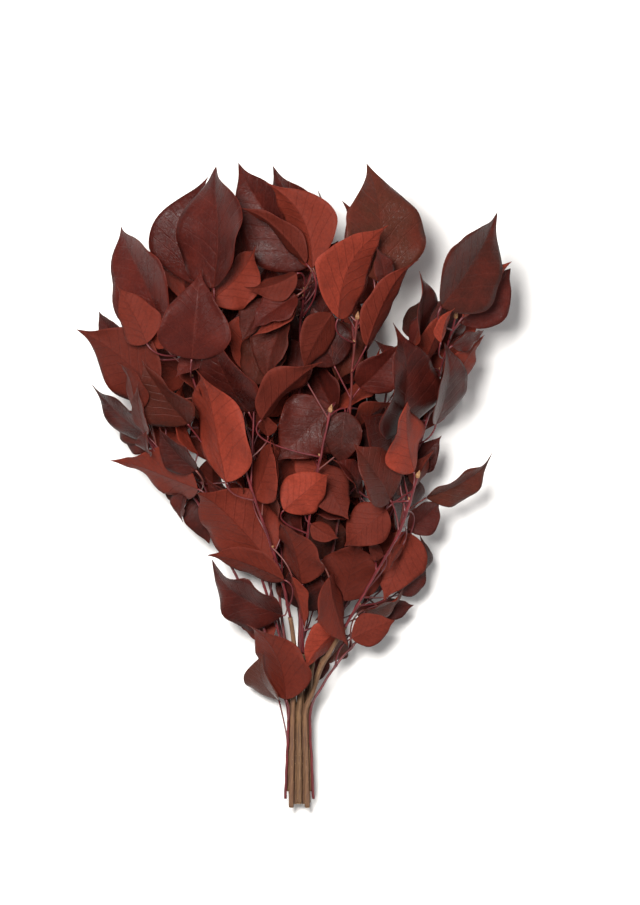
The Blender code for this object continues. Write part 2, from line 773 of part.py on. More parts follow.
def on_photo(points):
    """Columns and rows of points, as pixels."""
    return np.stack((points[:, 0] / PIXEL + PHOTO_MIDDLE[0], PHOTO_MIDDLE[1] - points[:, 1] / PIXEL), axis=1)


def rim(blade):
    """Eight points round a blade, from its base up one side and down the other."""
    s = np.array((0.0, 0.15, 0.4, 0.7, 1.0, 0.7, 0.4, 0.15))
    t = np.array((0.0, -1, -1, -1, 0, 1, 1, 1))
    return blade.surface(s, t)


def hidden_blade(bunch, name, draw):
    """A leaf drawn by rule from its shoot, turned to the outside of the bunch; None if it would show."""
    path = bunch.shoots[name]
    place = draw.uniform(0.1, 1) * (len(path) - 1.001)
    index = int(place)
    root = path[index] + (place - index) * (path[index + 1] - path[index])
    way = unit(path[index + 1] - path[index])
    turn = draw.uniform(0, math.tau)
    side = unit(np.cross(way, (0.0, 0.0, 1.0)))
    lift = np.cross(side, way)
    radial = side * math.cos(turn) + lift * math.sin(turn)
    spread = draw.uniform(0.5, 1.35)
    toward = unit(way * math.cos(spread) + radial * math.sin(spread))
    base = root + toward * draw.uniform(16, 44) * MM
    along = unit(toward + way * draw.uniform(0, 0.8) + np.array((0, 0, draw.uniform(-0.3, 0.15))))
    length = draw.uniform(36, 78) * MM
    tip = base + along * length
    column = tip[0] / PIXEL + PHOTO_MIDDLE[0]
    row = PHOTO_MIDDLE[1] - tip[1] / PIXEL
    if row > 700:
        return None
    middle = (rows(LEFT_EDGE, row) + rows(RIGHT_EDGE, row)) / 2
    outside = np.array(((column - middle) * PIXEL, 0.0, tip[2] - core(row) - 8 * MM))
    outside += np.array([draw.uniform(-12, 12) * MM for _ in range(3)])
    up = outside - along * np.dot(outside, along)
    if np.linalg.norm(up) < 4 * MM:
        return None
    up = unit(up) * (1 if draw.random() < 0.65 else -1)
    blade = Blade(base, tip, length / draw.uniform(1.15, 1.55), up, draw)
    blade.hidden = True
    edge = rim(blade)
    if min(base[2], tip[2]) < -12 * MM or not within(on_photo(edge), np.array(OUTLINE, float)).all():
        return None
    for point, (column, row) in zip(edge, on_photo(edge)):
        if point[2] > core(row) + max(0.0, swell(column, row) - 18 * MM):
            return None
        if point[2] < core(row) - 1.1 * rows(HALF_DEPTH_MM, row) * MM:
            return None
    return blade


def add_hidden_leaves(bunch):
    """The leaves that fill the inside and the far side. Of a few that could grow, the one that closes the
    most of the gaps seen from above or, on every third turn, from below, is tried first."""
    rows_, columns = np.mgrid[160:700:6, 80:520:6]
    cells = np.stack((columns.ravel(), rows_.ravel()), axis=1).astype(float)
    cells = cells[within(cells, np.array(OUTLINE, float))]
    above = np.ones(len(cells))
    below = np.ones(len(cells))
    for leaves in bunch.leaves.values():
        for blade in leaves:
            above[within(cells, on_photo(rim(blade)))] *= 0.15
    turns = [name for count in range(16) for name in STEMS if STEMS[name].fill > count]
    for turn, name in enumerate(turns):
        gaps = below if turn % 3 == 2 else above
        found = []
        for _ in range(60):
            blade = hidden_blade(bunch, name, bunch.draw)
            if blade is not None:
                covered = within(cells, on_photo(rim(blade)))
                found.append((-float(gaps[covered].sum()), len(found), blade, covered))
        found.sort(key=lambda entry: entry[:2])
        for _, _, blade, covered in found[:30]:
            if bunch.blade_is_clear(blade) and bunch.settle(name, blade):
                above[covered] *= 0.3
                below[covered] *= 0.3
                break
        else:
            bunch.missing.append((name, "hidden"))


def colour_material(name, colour, roughness):
    """A plain Principled material."""
    material = bpy.data.materials.new(name)
    material.use_nodes = True
    shader = material.node_tree.nodes["Principled BSDF"]
    shader.inputs["Base Color"].default_value = (*colour, 1)
    shader.inputs["Roughness"].default_value = roughness
    return material


def stem_curve(name, path, radius, shares):
    """A six-sided tube along a path, its radius scaled by the shares, one for each point."""
    curve = bpy.data.curves.new(name, "CURVE")
    curve.dimensions = "3D"
    curve.bevel_depth = radius
    curve.bevel_resolution = 1
    curve.use_fill_caps = True
    spline = curve.splines.new("POLY")
    spline.points.add(len(path) - 1)
    for point, place, share in zip(spline.points, path, shares):
        point.co = (*place, 1)
        point.radius = share
    return bpy.data.objects.new(name, curve)


def build_wood(name, path, collection):
    """The woody length of a stem, a little thicker at its cut end."""
    shares = np.linspace(1, 0.82, len(path))
    wood = stem_curve("wood_" + name, path, WOOD_RADIUS, shares)
    wood.data.materials.append(colour_material("bark_" + name, (0.25, 0.15, 0.07), 0.75))
    collection.objects.link(wood)


def build_spray(name, path, leaves, collection, tint):
    """A shoot with its bud and all its leaves, grown into one solid."""
    shares = np.linspace(1, 0.72, len(path))
    shares[-3:] = (1.1, 1.05, 0.3)
    tube = stem_curve("shoot_" + name, path, SHOOT_RADIUS, shares)
    collection.objects.link(tube)
    ready = tube.evaluated_get(bpy.context.evaluated_depsgraph_get())
    shoot_mesh = bpy.data.meshes.new_from_object(ready)
    bpy.data.objects.remove(tube)
    work = bmesh.new()
    work.from_mesh(shoot_mesh)
    bmesh.ops.remove_doubles(work, verts=work.verts, dist=0.00001)
    work.to_mesh(shoot_mesh)
    work.free()
    spray = bpy.data.objects.new("spray_" + name, shoot_mesh)
    collection.objects.link(spray)
    growth = bpy.data.collections.new("leaves_" + name)
    bpy.context.scene.collection.children.link(growth)
    for i, leaf in enumerate(leaves):
        points, faces = leaf.mesh()
        mesh = bpy.data.meshes.new(f"leaf_{name}_{i}")
        mesh.from_pydata(points.tolist(), [], faces)
        growth.objects.link(bpy.data.objects.new(mesh.name, mesh))
    union = spray.modifiers.new("grown_together", "BOOLEAN")
    union.operation = "UNION"
    union.operand_type = "COLLECTION"
    union.collection = growth
    union.solver = "MANIFOLD"
    ready = spray.evaluated_get(bpy.context.evaluated_depsgraph_get())
    whole = bpy.data.meshes.new_from_object(ready)
    spray.modifiers.remove(union)
    spray.data = whole
    for leaf in list(growth.objects):
        bpy.data.objects.remove(leaf)
    bpy.data.collections.remove(growth)
    whole.materials.clear()
    whole.materials.append(colour_material("leaf_" + name, tint, 0.45))


def main():
    for thing in list(bpy.data.objects):
        bpy.data.objects.remove(thing)
    collection = bpy.data.collections.new("preserved_ivy_bunch")
    bpy.context.scene.collection.children.link(collection)
    bunch = Bunch()
    add_seen_leaves(bunch)
    add_resting_leaves(bunch)
    add_hidden_leaves(bunch)
    for name in STEMS:
        if bunch.woods[name] is not None:
            build_wood(name, bunch.woods[name], collection)
        under = sum(leaf.up[2] < 0 for leaf in bunch.leaves[name]) / len(bunch.leaves[name])
        tint = (0.1 + 0.12 * under, 0.025 + 0.02 * under, 0.022)
        build_spray(name, bunch.shoots[name], bunch.leaves[name], collection, tint)
    print(sum(len(leaves) for leaves in bunch.leaves.values()), "leaves; no place for", bunch.missing)


if __name__ == "__main__":
    main()
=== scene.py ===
"""The finished look of the preserved ivy bunch: fine leaves, shoots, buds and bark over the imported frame.

The leaves and stems are laid out by the same rule as the solids of the frame, so each fine piece keeps the
form of the node it stands for. +Y runs from the cut ends to the leaf tips and +Z is up from the table.
Lengths are in metres unless a name or a comment says pixels or millimetres.
"""

import collections
import functools
import itertools
import math
import random

import bpy
import numpy as np
from mathutils.bvhtree import BVHTree
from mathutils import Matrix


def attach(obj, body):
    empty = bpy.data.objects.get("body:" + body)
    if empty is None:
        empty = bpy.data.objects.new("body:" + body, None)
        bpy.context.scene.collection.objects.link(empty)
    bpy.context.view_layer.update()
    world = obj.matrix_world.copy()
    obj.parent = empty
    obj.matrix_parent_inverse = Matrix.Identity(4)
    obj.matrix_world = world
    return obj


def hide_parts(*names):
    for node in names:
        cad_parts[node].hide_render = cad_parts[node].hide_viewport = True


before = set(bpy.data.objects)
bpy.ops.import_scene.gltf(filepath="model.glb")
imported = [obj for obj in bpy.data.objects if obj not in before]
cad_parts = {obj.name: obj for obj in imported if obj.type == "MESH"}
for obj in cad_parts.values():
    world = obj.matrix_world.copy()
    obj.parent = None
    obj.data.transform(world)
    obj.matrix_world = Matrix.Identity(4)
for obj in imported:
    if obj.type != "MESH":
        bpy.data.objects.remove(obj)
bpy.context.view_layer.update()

bl_info = {
    "name": "Preserved ivy bunch",
    "version": (1, 0, 0),
    "blender": (4, 5, 0),
    "location": "View3D > Sidebar > Ivy",
    "description": "Builds the fine leaves, shoots, buds and bark of a bunch of preserved ivy",
    "category": "Object",
}

MM = 0.001
PIXEL = 0.85 * MM  # real size of one pixel of the photograph, at the bunch
PHOTO_SIZE = (640, 905)  # in pixels
PHOTO_MIDDLE = (294.3, 488.26)  # the pixel that lies over X = 0, Y = 0
GRIP_COLUMN = 299
SEED = 7

# Colours read off the photograph, as sRGB numbers out of 255.
UPPER_DARK = (30, 10, 9)
UPPER_MAROON = (64, 21, 17)
UPPER_BROWN = (68, 34, 25)
UPPER_WARM = (86, 29, 21)
VEIN_UPPER = (112, 52, 42)
UNDER_DEEP = (72, 25, 17)
UNDER_BRICK = (106, 39, 27)
UNDER_BRIGHT = (134, 51, 36)
VEIN_UNDER = (60, 19, 15)
# A painted highlight: the colour that the very margin of a blade is lightened towards, as if its rolled edge
# caught the light.
MARGIN_HIGHLIGHT = (130, 50, 38)
SHOOT_DARK = (60, 16, 20)
SHOOT_RED = (108, 32, 37)
SHOOT_BROWN = (92, 50, 36)
BUD_DARK = (100, 66, 38)
BUD_TAN = (160, 122, 78)
BARK_DARK = (62, 40, 25)
BARK_TAN = (118, 87, 55)
BARK_PALE = (150, 120, 82)
BARK_RED = (104, 62, 46)
CUT_DARK = (150, 112, 74)
CUT_PALE = (206, 172, 124)

# The bunch as a whole, by rows of the photograph, in pixels, and heights in millimetres.
CUT_ENDS_ROW = 812
GRIP_ROW = 715
ROWS = (163, 200, 260, 350, 450, 550, 620, 680, 720)
HALF_DEPTH_MM = (30, 52, 70, 80, 74, 54, 36, 20, 10)
LEFT_EDGE = (200, 150, 110, 84, 130, 196, 228, 255, 285)
RIGHT_EDGE = (385, 400, 505, 490, 440, 425, 405, 335, 310)
CORE_AT_CUT_ENDS_MM = 13.5
CORE_RISE_MM = 0.16  # for each pixel row from the cut ends

# Outline of the bunch in the photograph, in pixels, clockwise from the top left leaf tip.
OUTLINE = (
    (235, 166), (262, 186), (270, 171), (307, 187), (329, 205), (332, 240), (338, 256), (345, 250),
    (345, 215), (352, 212), (366, 190), (372, 163), (388, 190), (404, 235), (402, 262), (386, 300),
    (374, 330), (400, 344), (396, 325), (419, 274), (426, 280), (450, 250), (497, 212), (500, 248),
    (512, 261), (510, 295), (482, 328), (483, 334), (460, 380), (457, 405), (450, 413), (440, 440),
    (423, 463), (428, 470), (423, 488), (430, 488), (497, 458), (465, 487), (440, 508), (418, 530),
    (416, 540), (424, 538), (430, 549), (421, 566), (431, 568), (406, 595), (415, 606), (392, 617),
    (394, 621), (383, 632), (362, 649), (348, 645), (330, 665), (305, 725), (283, 706), (262, 700),
    (250, 680), (260, 655), (242, 641), (229, 613), (232, 603), (212, 584), (210, 565), (196, 552),
    (212, 550), (200, 530), (190, 505), (181, 523), (164, 500), (160, 488), (143, 478), (112, 456),
    (142, 450), (133, 441), (116, 432), (101, 410), (92, 383), (98, 378), (90, 350), (82, 328),
    (97, 333), (98, 312), (109, 320), (117, 300), (118, 287), (127, 290), (127, 270), (132, 258),
    (117, 228), (148, 245), (170, 252), (168, 235), (170, 222), (188, 205), (208, 167), (240, 202),
    (240, 178),
)

# Leaf proportions, from the leaves that lie flat to the camera.
LENGTH_TO_WIDTH = 1.38
BLADE_THICK = 0.8 * MM
BLADE_STATIONS = (0.08, 0.3, 0.58, 0.84)
HIDDEN_STATIONS = (0.12, 0.42, 0.78)
PETIOLE_RADIUS = 0.7 * MM
PETIOLE_REACH = (14 * MM, 62 * MM)
CLEARANCE = 0.95 * MM
FOOT_RECESS = 11 * MM  # how much deeper the foot of a blade lies than its tip

LID_SHARE = 0.02  # a closed end of a tube narrows to this share of its radius, then fans in to a point

# Stems, packed like pencils at the grip, where the bunch is narrowest.
WOOD_RADIUS = 2.4 * MM
SHOOT_RADIUS = 1.3 * MM
PACKING = 2 * WOOD_RADIUS + 0.75 * MM
ROW_STEP = PACKING * math.sqrt(0.75)
SPLAY_AT_CUT = 1.25
COLOUR_GAP = 0.3 * MM
PATH_STEP = 27 * MM

UPPER, UNDER = 1, -1

Stem = collections.namedtuple("Stem", "slot wood_to route fill")
Leaf = collections.namedtuple("Leaf", "base tip width face depth bow", defaults=(0,))

# Each stem: its place in the grip (columns and rows of the packing), the pixel row where wood turns to red
# shoot (None for a thin red shoot with no wood), its route up the bunch as (pixel x, pixel y, millimetres
# above the core), and how many leaves are added by rule to its hidden side.
STEMS = {
    "far_left": Stem(
        (-1.5, 0),
        650,
        (
            (268, 650, 2), (232, 570, -2), (192, 495, 2), (165, 462, 8), (147, 438, 14),
        ),
        5,
    ),
    "upper_left": Stem(
        (-0.5, 0),
        655,
        (
            (283, 650, 3), (255, 560, 11), (222, 465, 18), (197, 390, 22), (180, 335, 24),
        ),
        7,
    ),
    "top_left": Stem(
        (-1, -1),
        655,
        (
            (284, 640, -8), (268, 520, -16), (245, 420, -14), (222, 340, -6), (207, 292, 2),
        ),
        8,
    ),
    "top_centre": Stem(
        (0.5, 0),
        655,
        (
            (300, 640, 3), (300, 500, 5), (299, 390, 14), (302, 310, 28), (312, 273, 36),
        ),
        7,
    ),
    "centre": Stem(
        (1.5, 0),
        650,
        (
            (314, 650, 0), (335, 540, 10), (348, 440, 26), (352, 370, 38), (357, 320, 46),
        ),
        7,
    ),
    "far_right": Stem(
        (1.08, -1),
        650,
        (
            (330, 640, -8), (380, 540, -12), (418, 450, -8), (438, 380, 2), (455, 318, 14),
        ),
        7,
    ),
    "front_left": Stem(
        (-1, 1),
        618,
        (
            (294, 655, 11), (290, 618, 16), (282, 580, 22), (264, 525, 36), (246, 470, 46),
            (238, 425, 48),
        ),
        4,
    ),
    "front_centre": Stem(
        (0, 1),
        655,
        (
            (303, 655, 12), (302, 610, 20), (305, 560, 30), (312, 500, 44), (322, 450, 52),
            (330, 412, 54),
        ),
        4,
    ),
    "front_right": Stem(
        (1, 1),
        628,
        (
            (312, 697, 7), (322, 668, 10), (343, 632, 15), (375, 575, 28), (400, 530, 40),
            (417, 477, 48),
        ),
        0,
    ),
    "back": Stem(
        (0, -1),
        655,
        (
            (299, 640, -12), (300, 540, -28), (298, 440, -36), (296, 360, -36), (294, 290, -26),
        ),
        13,
    ),
    "back_left": Stem(
        (-0.58, -1.95),
        655,
        (
            (282, 640, -15), (256, 540, -32), (226, 440, -36), (200, 360, -28),
        ),
        13,
    ),
    "back_right": Stem(
        (0.58, -1.95),
        655,
        (
            (318, 640, -15), (350, 540, -32), (378, 440, -36), (392, 360, -28),
        ),
        12,
    ),
    "low_left": Stem(
        (-1.744, 0.83),
        None,
        (
            (280, 690, 7.5), (271, 655, 9), (262, 625, 9),
        ),
        1,
    ),
    "low_right": Stem(
        (1.744, 0.83),
        None,
        (
            (319, 694, 2), (338, 665, 0), (362, 638, -2), (382, 612, -3),
        ),
        1,
    ),
}

# The leaves that the photograph shows: base and tip in pixels, width across as it shows, the face that
# shows, millimetres below the outermost layer, and how far the midrib bows to the right, in pixels.
LEAVES = {
    "top_left": (
        Leaf((215, 290), (209, 167), 66, UPPER, 8, 14),
        Leaf((194, 285), (204, 178), 48, UPPER, 20, -6),
        Leaf((210, 303), (257, 249), 46, UNDER, 7),
        Leaf((212, 352), (172, 378), 34, UPPER, 16),
        Leaf((249, 412), (211, 333), 50, UPPER, 3),
        Leaf((284, 596), (262, 550), 38, UPPER, 16),
    ),
    "upper_left": (
        Leaf((166, 330), (117, 227), 62, UPPER, 12, 12),
        Leaf((193, 360), (202, 274), 74, UPPER, 2),
        Leaf((158, 392), (82, 327), 66, UNDER, 6),
        Leaf((188, 424), (141, 362), 56, UPPER, 4),
        Leaf((148, 344), (118, 286), 42, UNDER, 9),
        Leaf((122, 342), (97, 312), 20, UPPER, 16),
        Leaf((166, 348), (146, 322), 24, UNDER, 16),
        Leaf((266, 566), (236, 522), 40, UPPER, 12),
        Leaf((272, 640), (232, 606), 34, UNDER, 10),
    ),
    "far_left": (
        Leaf((135, 412), (124, 360), 20, UNDER, 0),
        Leaf((147, 434), (139, 384), 14, UPPER, 4),
        Leaf((198, 489), (112, 456), 38, UNDER, 4, -6),
        Leaf((147, 436), (91, 384), 24, UPPER, 10),
        Leaf((148, 440), (104, 400), 26, UPPER, 18),
        Leaf((150, 446), (118, 428), 26, UPPER, 24),
        Leaf((149, 453), (146, 432), 14, UPPER, 4),
        Leaf((196, 470), (157, 430), 28, UPPER, 10),
        Leaf((200, 482), (152, 440), 36, UPPER, 22),
        Leaf((184, 492), (181, 523), 16, UPPER, 26),
        Leaf((192, 498), (160, 488), 14, UPPER, 30),
        Leaf((200, 492), (208, 545), 30, UPPER, 16),
    ),
    "top_centre": (
        Leaf((310, 272), (262, 222), 52, UPPER, 26),
        Leaf((309, 268), (235, 166), 44, UPPER, 9),
        Leaf((306, 266), (243, 206), 20, UNDER, 4),
        Leaf((313, 270), (270, 184), 54, UNDER, 2, 10),
        Leaf((316, 272), (268, 170), 50, UPPER, 12, 14),
        Leaf((318, 268), (322, 192), 34, UPPER, 16),
        Leaf((322, 270), (338, 243), 24, UPPER, 22),
        Leaf((297, 276), (246, 293), 30, UNDER, 6),
        Leaf((268, 300), (243, 342), 30, UPPER, 24),
        Leaf((297, 298), (250, 330), 34, UPPER, 4),
        Leaf((297, 299), (253, 337), 16, UNDER, 0),
        Leaf((286, 318), (265, 386), 36, UPPER, 14),
        Leaf((308, 612), (304, 548), 36, UPPER, 8),
        Leaf((296, 600), (286, 556), 36, UPPER, 14),
    ),
    "centre": (
        Leaf((332, 315), (293, 388), 44, UNDER, 8),
        Leaf((343, 322), (337, 384), 36, UPPER, 20),
        Leaf((372, 424), (388, 464), 36, UPPER, 12),
        Leaf((383, 284), (371, 163), 52, UPPER, 4),
        Leaf((372, 276), (345, 202), 36, UPPER, 16),
        Leaf((338, 320), (389, 228), 52, UNDER, 0, -14),
        Leaf((366, 347), (410, 257), 26, UNDER, 12),
        Leaf((360, 388), (401, 343), 44, UPPER, 30),
        Leaf((384, 286), (374, 240), 26, UPPER, 14),
        Leaf((332, 618), (324, 566), 40, UPPER, 14),
        Leaf((366, 600), (378, 545), 40, UPPER, 16),
    ),
    "far_right": (
        Leaf((436, 424), (451, 346), 44, UPPER, 18),
        Leaf((452, 388), (483, 334), 24, UNDER, 24),
        Leaf((440, 308), (497, 212), 62, UPPER, 6),
        Leaf((412, 346), (419, 273), 42, UPPER, 10),
        Leaf((432, 352), (446, 292), 30, UPPER, 16),
        Leaf((462, 318), (512, 262), 22, UNDER, 2),
        Leaf((460, 323), (511, 268), 52, UPPER, 12),
        Leaf((452, 346), (484, 331), 16, UPPER, 16),
        Leaf((424, 365), (451, 308), 22, UNDER, 8),
        Leaf((440, 343), (451, 308), 12, UNDER, 6),
        Leaf((404, 522), (384, 470), 42, UPPER, 22),
    ),
    "front_left": (
        Leaf((226, 482), (206, 366), 52, UNDER, 0, -14),
        Leaf((247, 493), (231, 407), 44, UPPER, 8),
        Leaf((268, 436), (257, 410), 18, UNDER, 12),
        Leaf((254, 497), (270, 440), 30, UNDER, 2),
        Leaf((265, 484), (272, 440), 20, UNDER, 6),
        Leaf((283, 520), (276, 474), 26, UPPER, 8),
        Leaf((270, 564), (198, 489), 76, UNDER, 0),
        Leaf((284, 580), (200, 550), 26, UNDER, 6),
        Leaf((282, 616), (207, 566), 44, UPPER, 4),
        Leaf((292, 577), (305, 630), 14, UNDER, 4),
        Leaf((246, 501), (204, 480), 18, UPPER, 14),
        Leaf((258, 560), (226, 530), 40, UPPER, 22),
    ),
    "front_centre": (
        Leaf((262, 420), (324, 363), 44, UNDER, 6),
        Leaf((331, 406), (276, 462), 70, UPPER, 2),
        Leaf((284, 510), (330, 472), 44, UNDER, 6),
        Leaf((318, 467), (348, 520), 38, UNDER, 8),
        Leaf((306, 512), (357, 524), 18, UPPER, 6),
        Leaf((288, 512), (303, 548), 24, UPPER, 12),
        Leaf((311, 524), (338, 539), 20, UNDER, 10),
        Leaf((345, 412), (340, 466), 40, UPPER, 22),
        Leaf((302, 584), (284, 518), 38, UNDER, 0),
        Leaf((329, 577), (349, 647), 36, UNDER, -4),
        Leaf((343, 602), (358, 540), 64, UNDER, 2),
        Leaf((322, 560), (322, 506), 42, UPPER, 22),
        Leaf((352, 560), (350, 500), 44, UPPER, 24),
    ),
    "front_right": (
        Leaf((396, 434), (401, 328), 74, UPPER, 2),
        Leaf((414, 472), (405, 402), 36, UNDER, -2),
        Leaf((390, 500), (353, 444), 46, UPPER, 2),
        Leaf((358, 490), (335, 459), 20, UPPER, 10),
        Leaf((386, 509), (343, 547), 44, UNDER, 0),
        Leaf((427, 498), (497, 457), 26, UPPER, 10),
        Leaf((408, 530), (441, 502), 32, UPPER, 16),
        Leaf((414, 468), (442, 436), 30, UPPER, 28),
        Leaf((415, 486), (434, 450), 18, UNDER, 20),
        Leaf((404, 494), (398, 464), 14, UNDER, 12),
        Leaf((411, 534), (384, 602), 46, UNDER, 10),
        Leaf((417, 578), (424, 537), 16, UPPER, 16),
        Leaf((398, 594), (431, 568), 18, UPPER, 14),
        Leaf((384, 556), (368, 545), 16, UNDER, 14),
        Leaf((403, 545), (388, 572), 9, UNDER, 2),
        Leaf((384, 600), (378, 558), 16, UPPER, 12),
        Leaf((398, 463), (362, 415), 36, UPPER, 10),
        Leaf((392, 575), (412, 526), 40, UPPER, 20),
    ),
    "low_left": (
        Leaf((286, 702), (250, 621), 40, UNDER, -6, 8),
        Leaf((266, 630), (246, 604), 18, UNDER, 5),
        Leaf((278, 703), (262, 654), 36, UPPER, 3, -6),
    ),
    "low_right": (
        Leaf((343, 628), (303, 668), 30, UNDER, 4),
        Leaf((338, 600), (316, 622), 26, UPPER, 12),
        Leaf((318, 654), (311, 690), 20, UPPER, 16),
        Leaf((347, 640), (322, 668), 16, UPPER, 14),
        Leaf((352, 640), (395, 621), 34, UNDER, 8),
        Leaf((378, 608), (415, 607), 22, UPPER, 16),
        Leaf((364, 611), (407, 591), 22, UPPER, 12),
        Leaf((362, 622), (385, 600), 24, UPPER, 18),
    ),
}

# Leaves that lie flat on the table and carry the bunch: shoot, base and tip in pixels, width in pixels.
RESTING = (
    ("back_left", (224, 462), (198, 396), 56),
    ("back_right", (376, 462), (402, 398), 56),
    ("back", (300, 430), (306, 360), 52),
    ("back", (296, 560), (290, 494), 50),
)


def rows(values, row):
    """The value of a list that goes with ROWS, at any pixel row."""
    return float(np.interp(row, ROWS, values))


def core(row):
    """Height of the middle of the bunch over the table."""
    return (CORE_AT_CUT_ENDS_MM + CORE_RISE_MM * (CUT_ENDS_ROW - row)) * MM


def swell(column, row):
    """How far the outermost leaves stand off the core at a pixel."""
    left = rows(LEFT_EDGE, row)
    right = rows(RIGHT_EDGE, row)
    across = (2 * column - left - right) / (right - left)
    return rows(HALF_DEPTH_MM, row) * MM * math.sqrt(max(0.0, 1 - across * across))


def spot(column, row, height):
    """The point at a pixel and a height over the table."""
    x = (column - PHOTO_MIDDLE[0]) * PIXEL
    y = (PHOTO_MIDDLE[1] - row) * PIXEL
    return np.array((x, y, height))


def unit(vector):
    return vector / np.linalg.norm(vector)


def smooth_path(points, step):
    """Points every `step` or so along a Catmull-Rom curve through the given ones."""
    points = np.array(points)
    ends = np.vstack((2 * points[0] - points[1], points, 2 * points[-1] - points[-2]))
    path = []
    for a, b, c, d in zip(ends, ends[1:], ends[2:], ends[3:]):
        count = max(2, round(np.linalg.norm(c - b) / step))
        u = np.arange(count)[:, None] / count
        path.append(
            b
            + u * (c - a) / 2
            + u * u * (2 * a - 5 * b + 4 * c - d) / 2
            + u * u * u * (3 * b - a - 3 * c + d) / 2
        )
    return np.vstack((*path, points[-1:]))


def even_points(path, step):
    """Points about `step` apart on the straight pieces of a path."""
    points = []
    for a, b in zip(path, path[1:]):
        count = max(1, round(np.linalg.norm(b - a) / step))
        points.append(a + (b - a) * np.arange(count)[:, None] / count)
    return np.vstack(points)


def stem_path(name):
    """The whole way of a stem, from its cut end to its bud."""
    stem = STEMS[name]
    across, up = stem.slot
    end_row = CUT_ENDS_ROW - (13 * abs(across) + 7 * (up + 2)) % 17
    knots = []
    for row, spread in ((end_row, SPLAY_AT_CUT), (762, 1.1), (GRIP_ROW, 1)):
        middle = spot(GRIP_COLUMN, row, core(row))
        knots.append(middle + spread * np.array((across * PACKING, 0, up * ROW_STEP)))
    for column, row, lift in stem.route:
        knots.append(spot(column, row, core(row) + lift * MM))
    return smooth_path(knots, PATH_STEP)


def with_bud(shoot):
    """A shoot's path with the three points of its end bud added."""
    way = unit(shoot[-1] - shoot[-2])
    return np.vstack((shoot, *(shoot[-1:] + way * step * MM for step in (2.5, 5.5, 8))))


def split_stem(name):
    """The woody and the leafy length of a stem's path; the woody one is None for a thin shoot."""
    path = stem_path(name)
    wood_to = STEMS[name].wood_to
    if wood_to is None:
        return None, with_bud(path)
    turn = spot(0, wood_to, 0)[1]
    index = int(np.argmax(path[:, 1] > turn))
    share = (turn - path[index - 1, 1]) / (path[index, 1] - path[index - 1, 1])
    joint = path[index - 1] + share * (path[index] - path[index - 1])
    along = unit(path[index] - path[index - 1])
    wood = np.vstack((path[: index - 1], joint - along * COLOUR_GAP))
    shoot = np.vstack((joint, path[index + 1 :]))
    return wood, with_bud(shoot)


def profile(s, a, b):
    """Half width of a blade along its midrib, 1 at the widest: rounder at the foot for a small a, and drawn
    out at the tip for a large b."""
    widest = (a / (a + b)) ** a * (b / (a + b)) ** b
    return s**a * (1 - s) ** b / widest


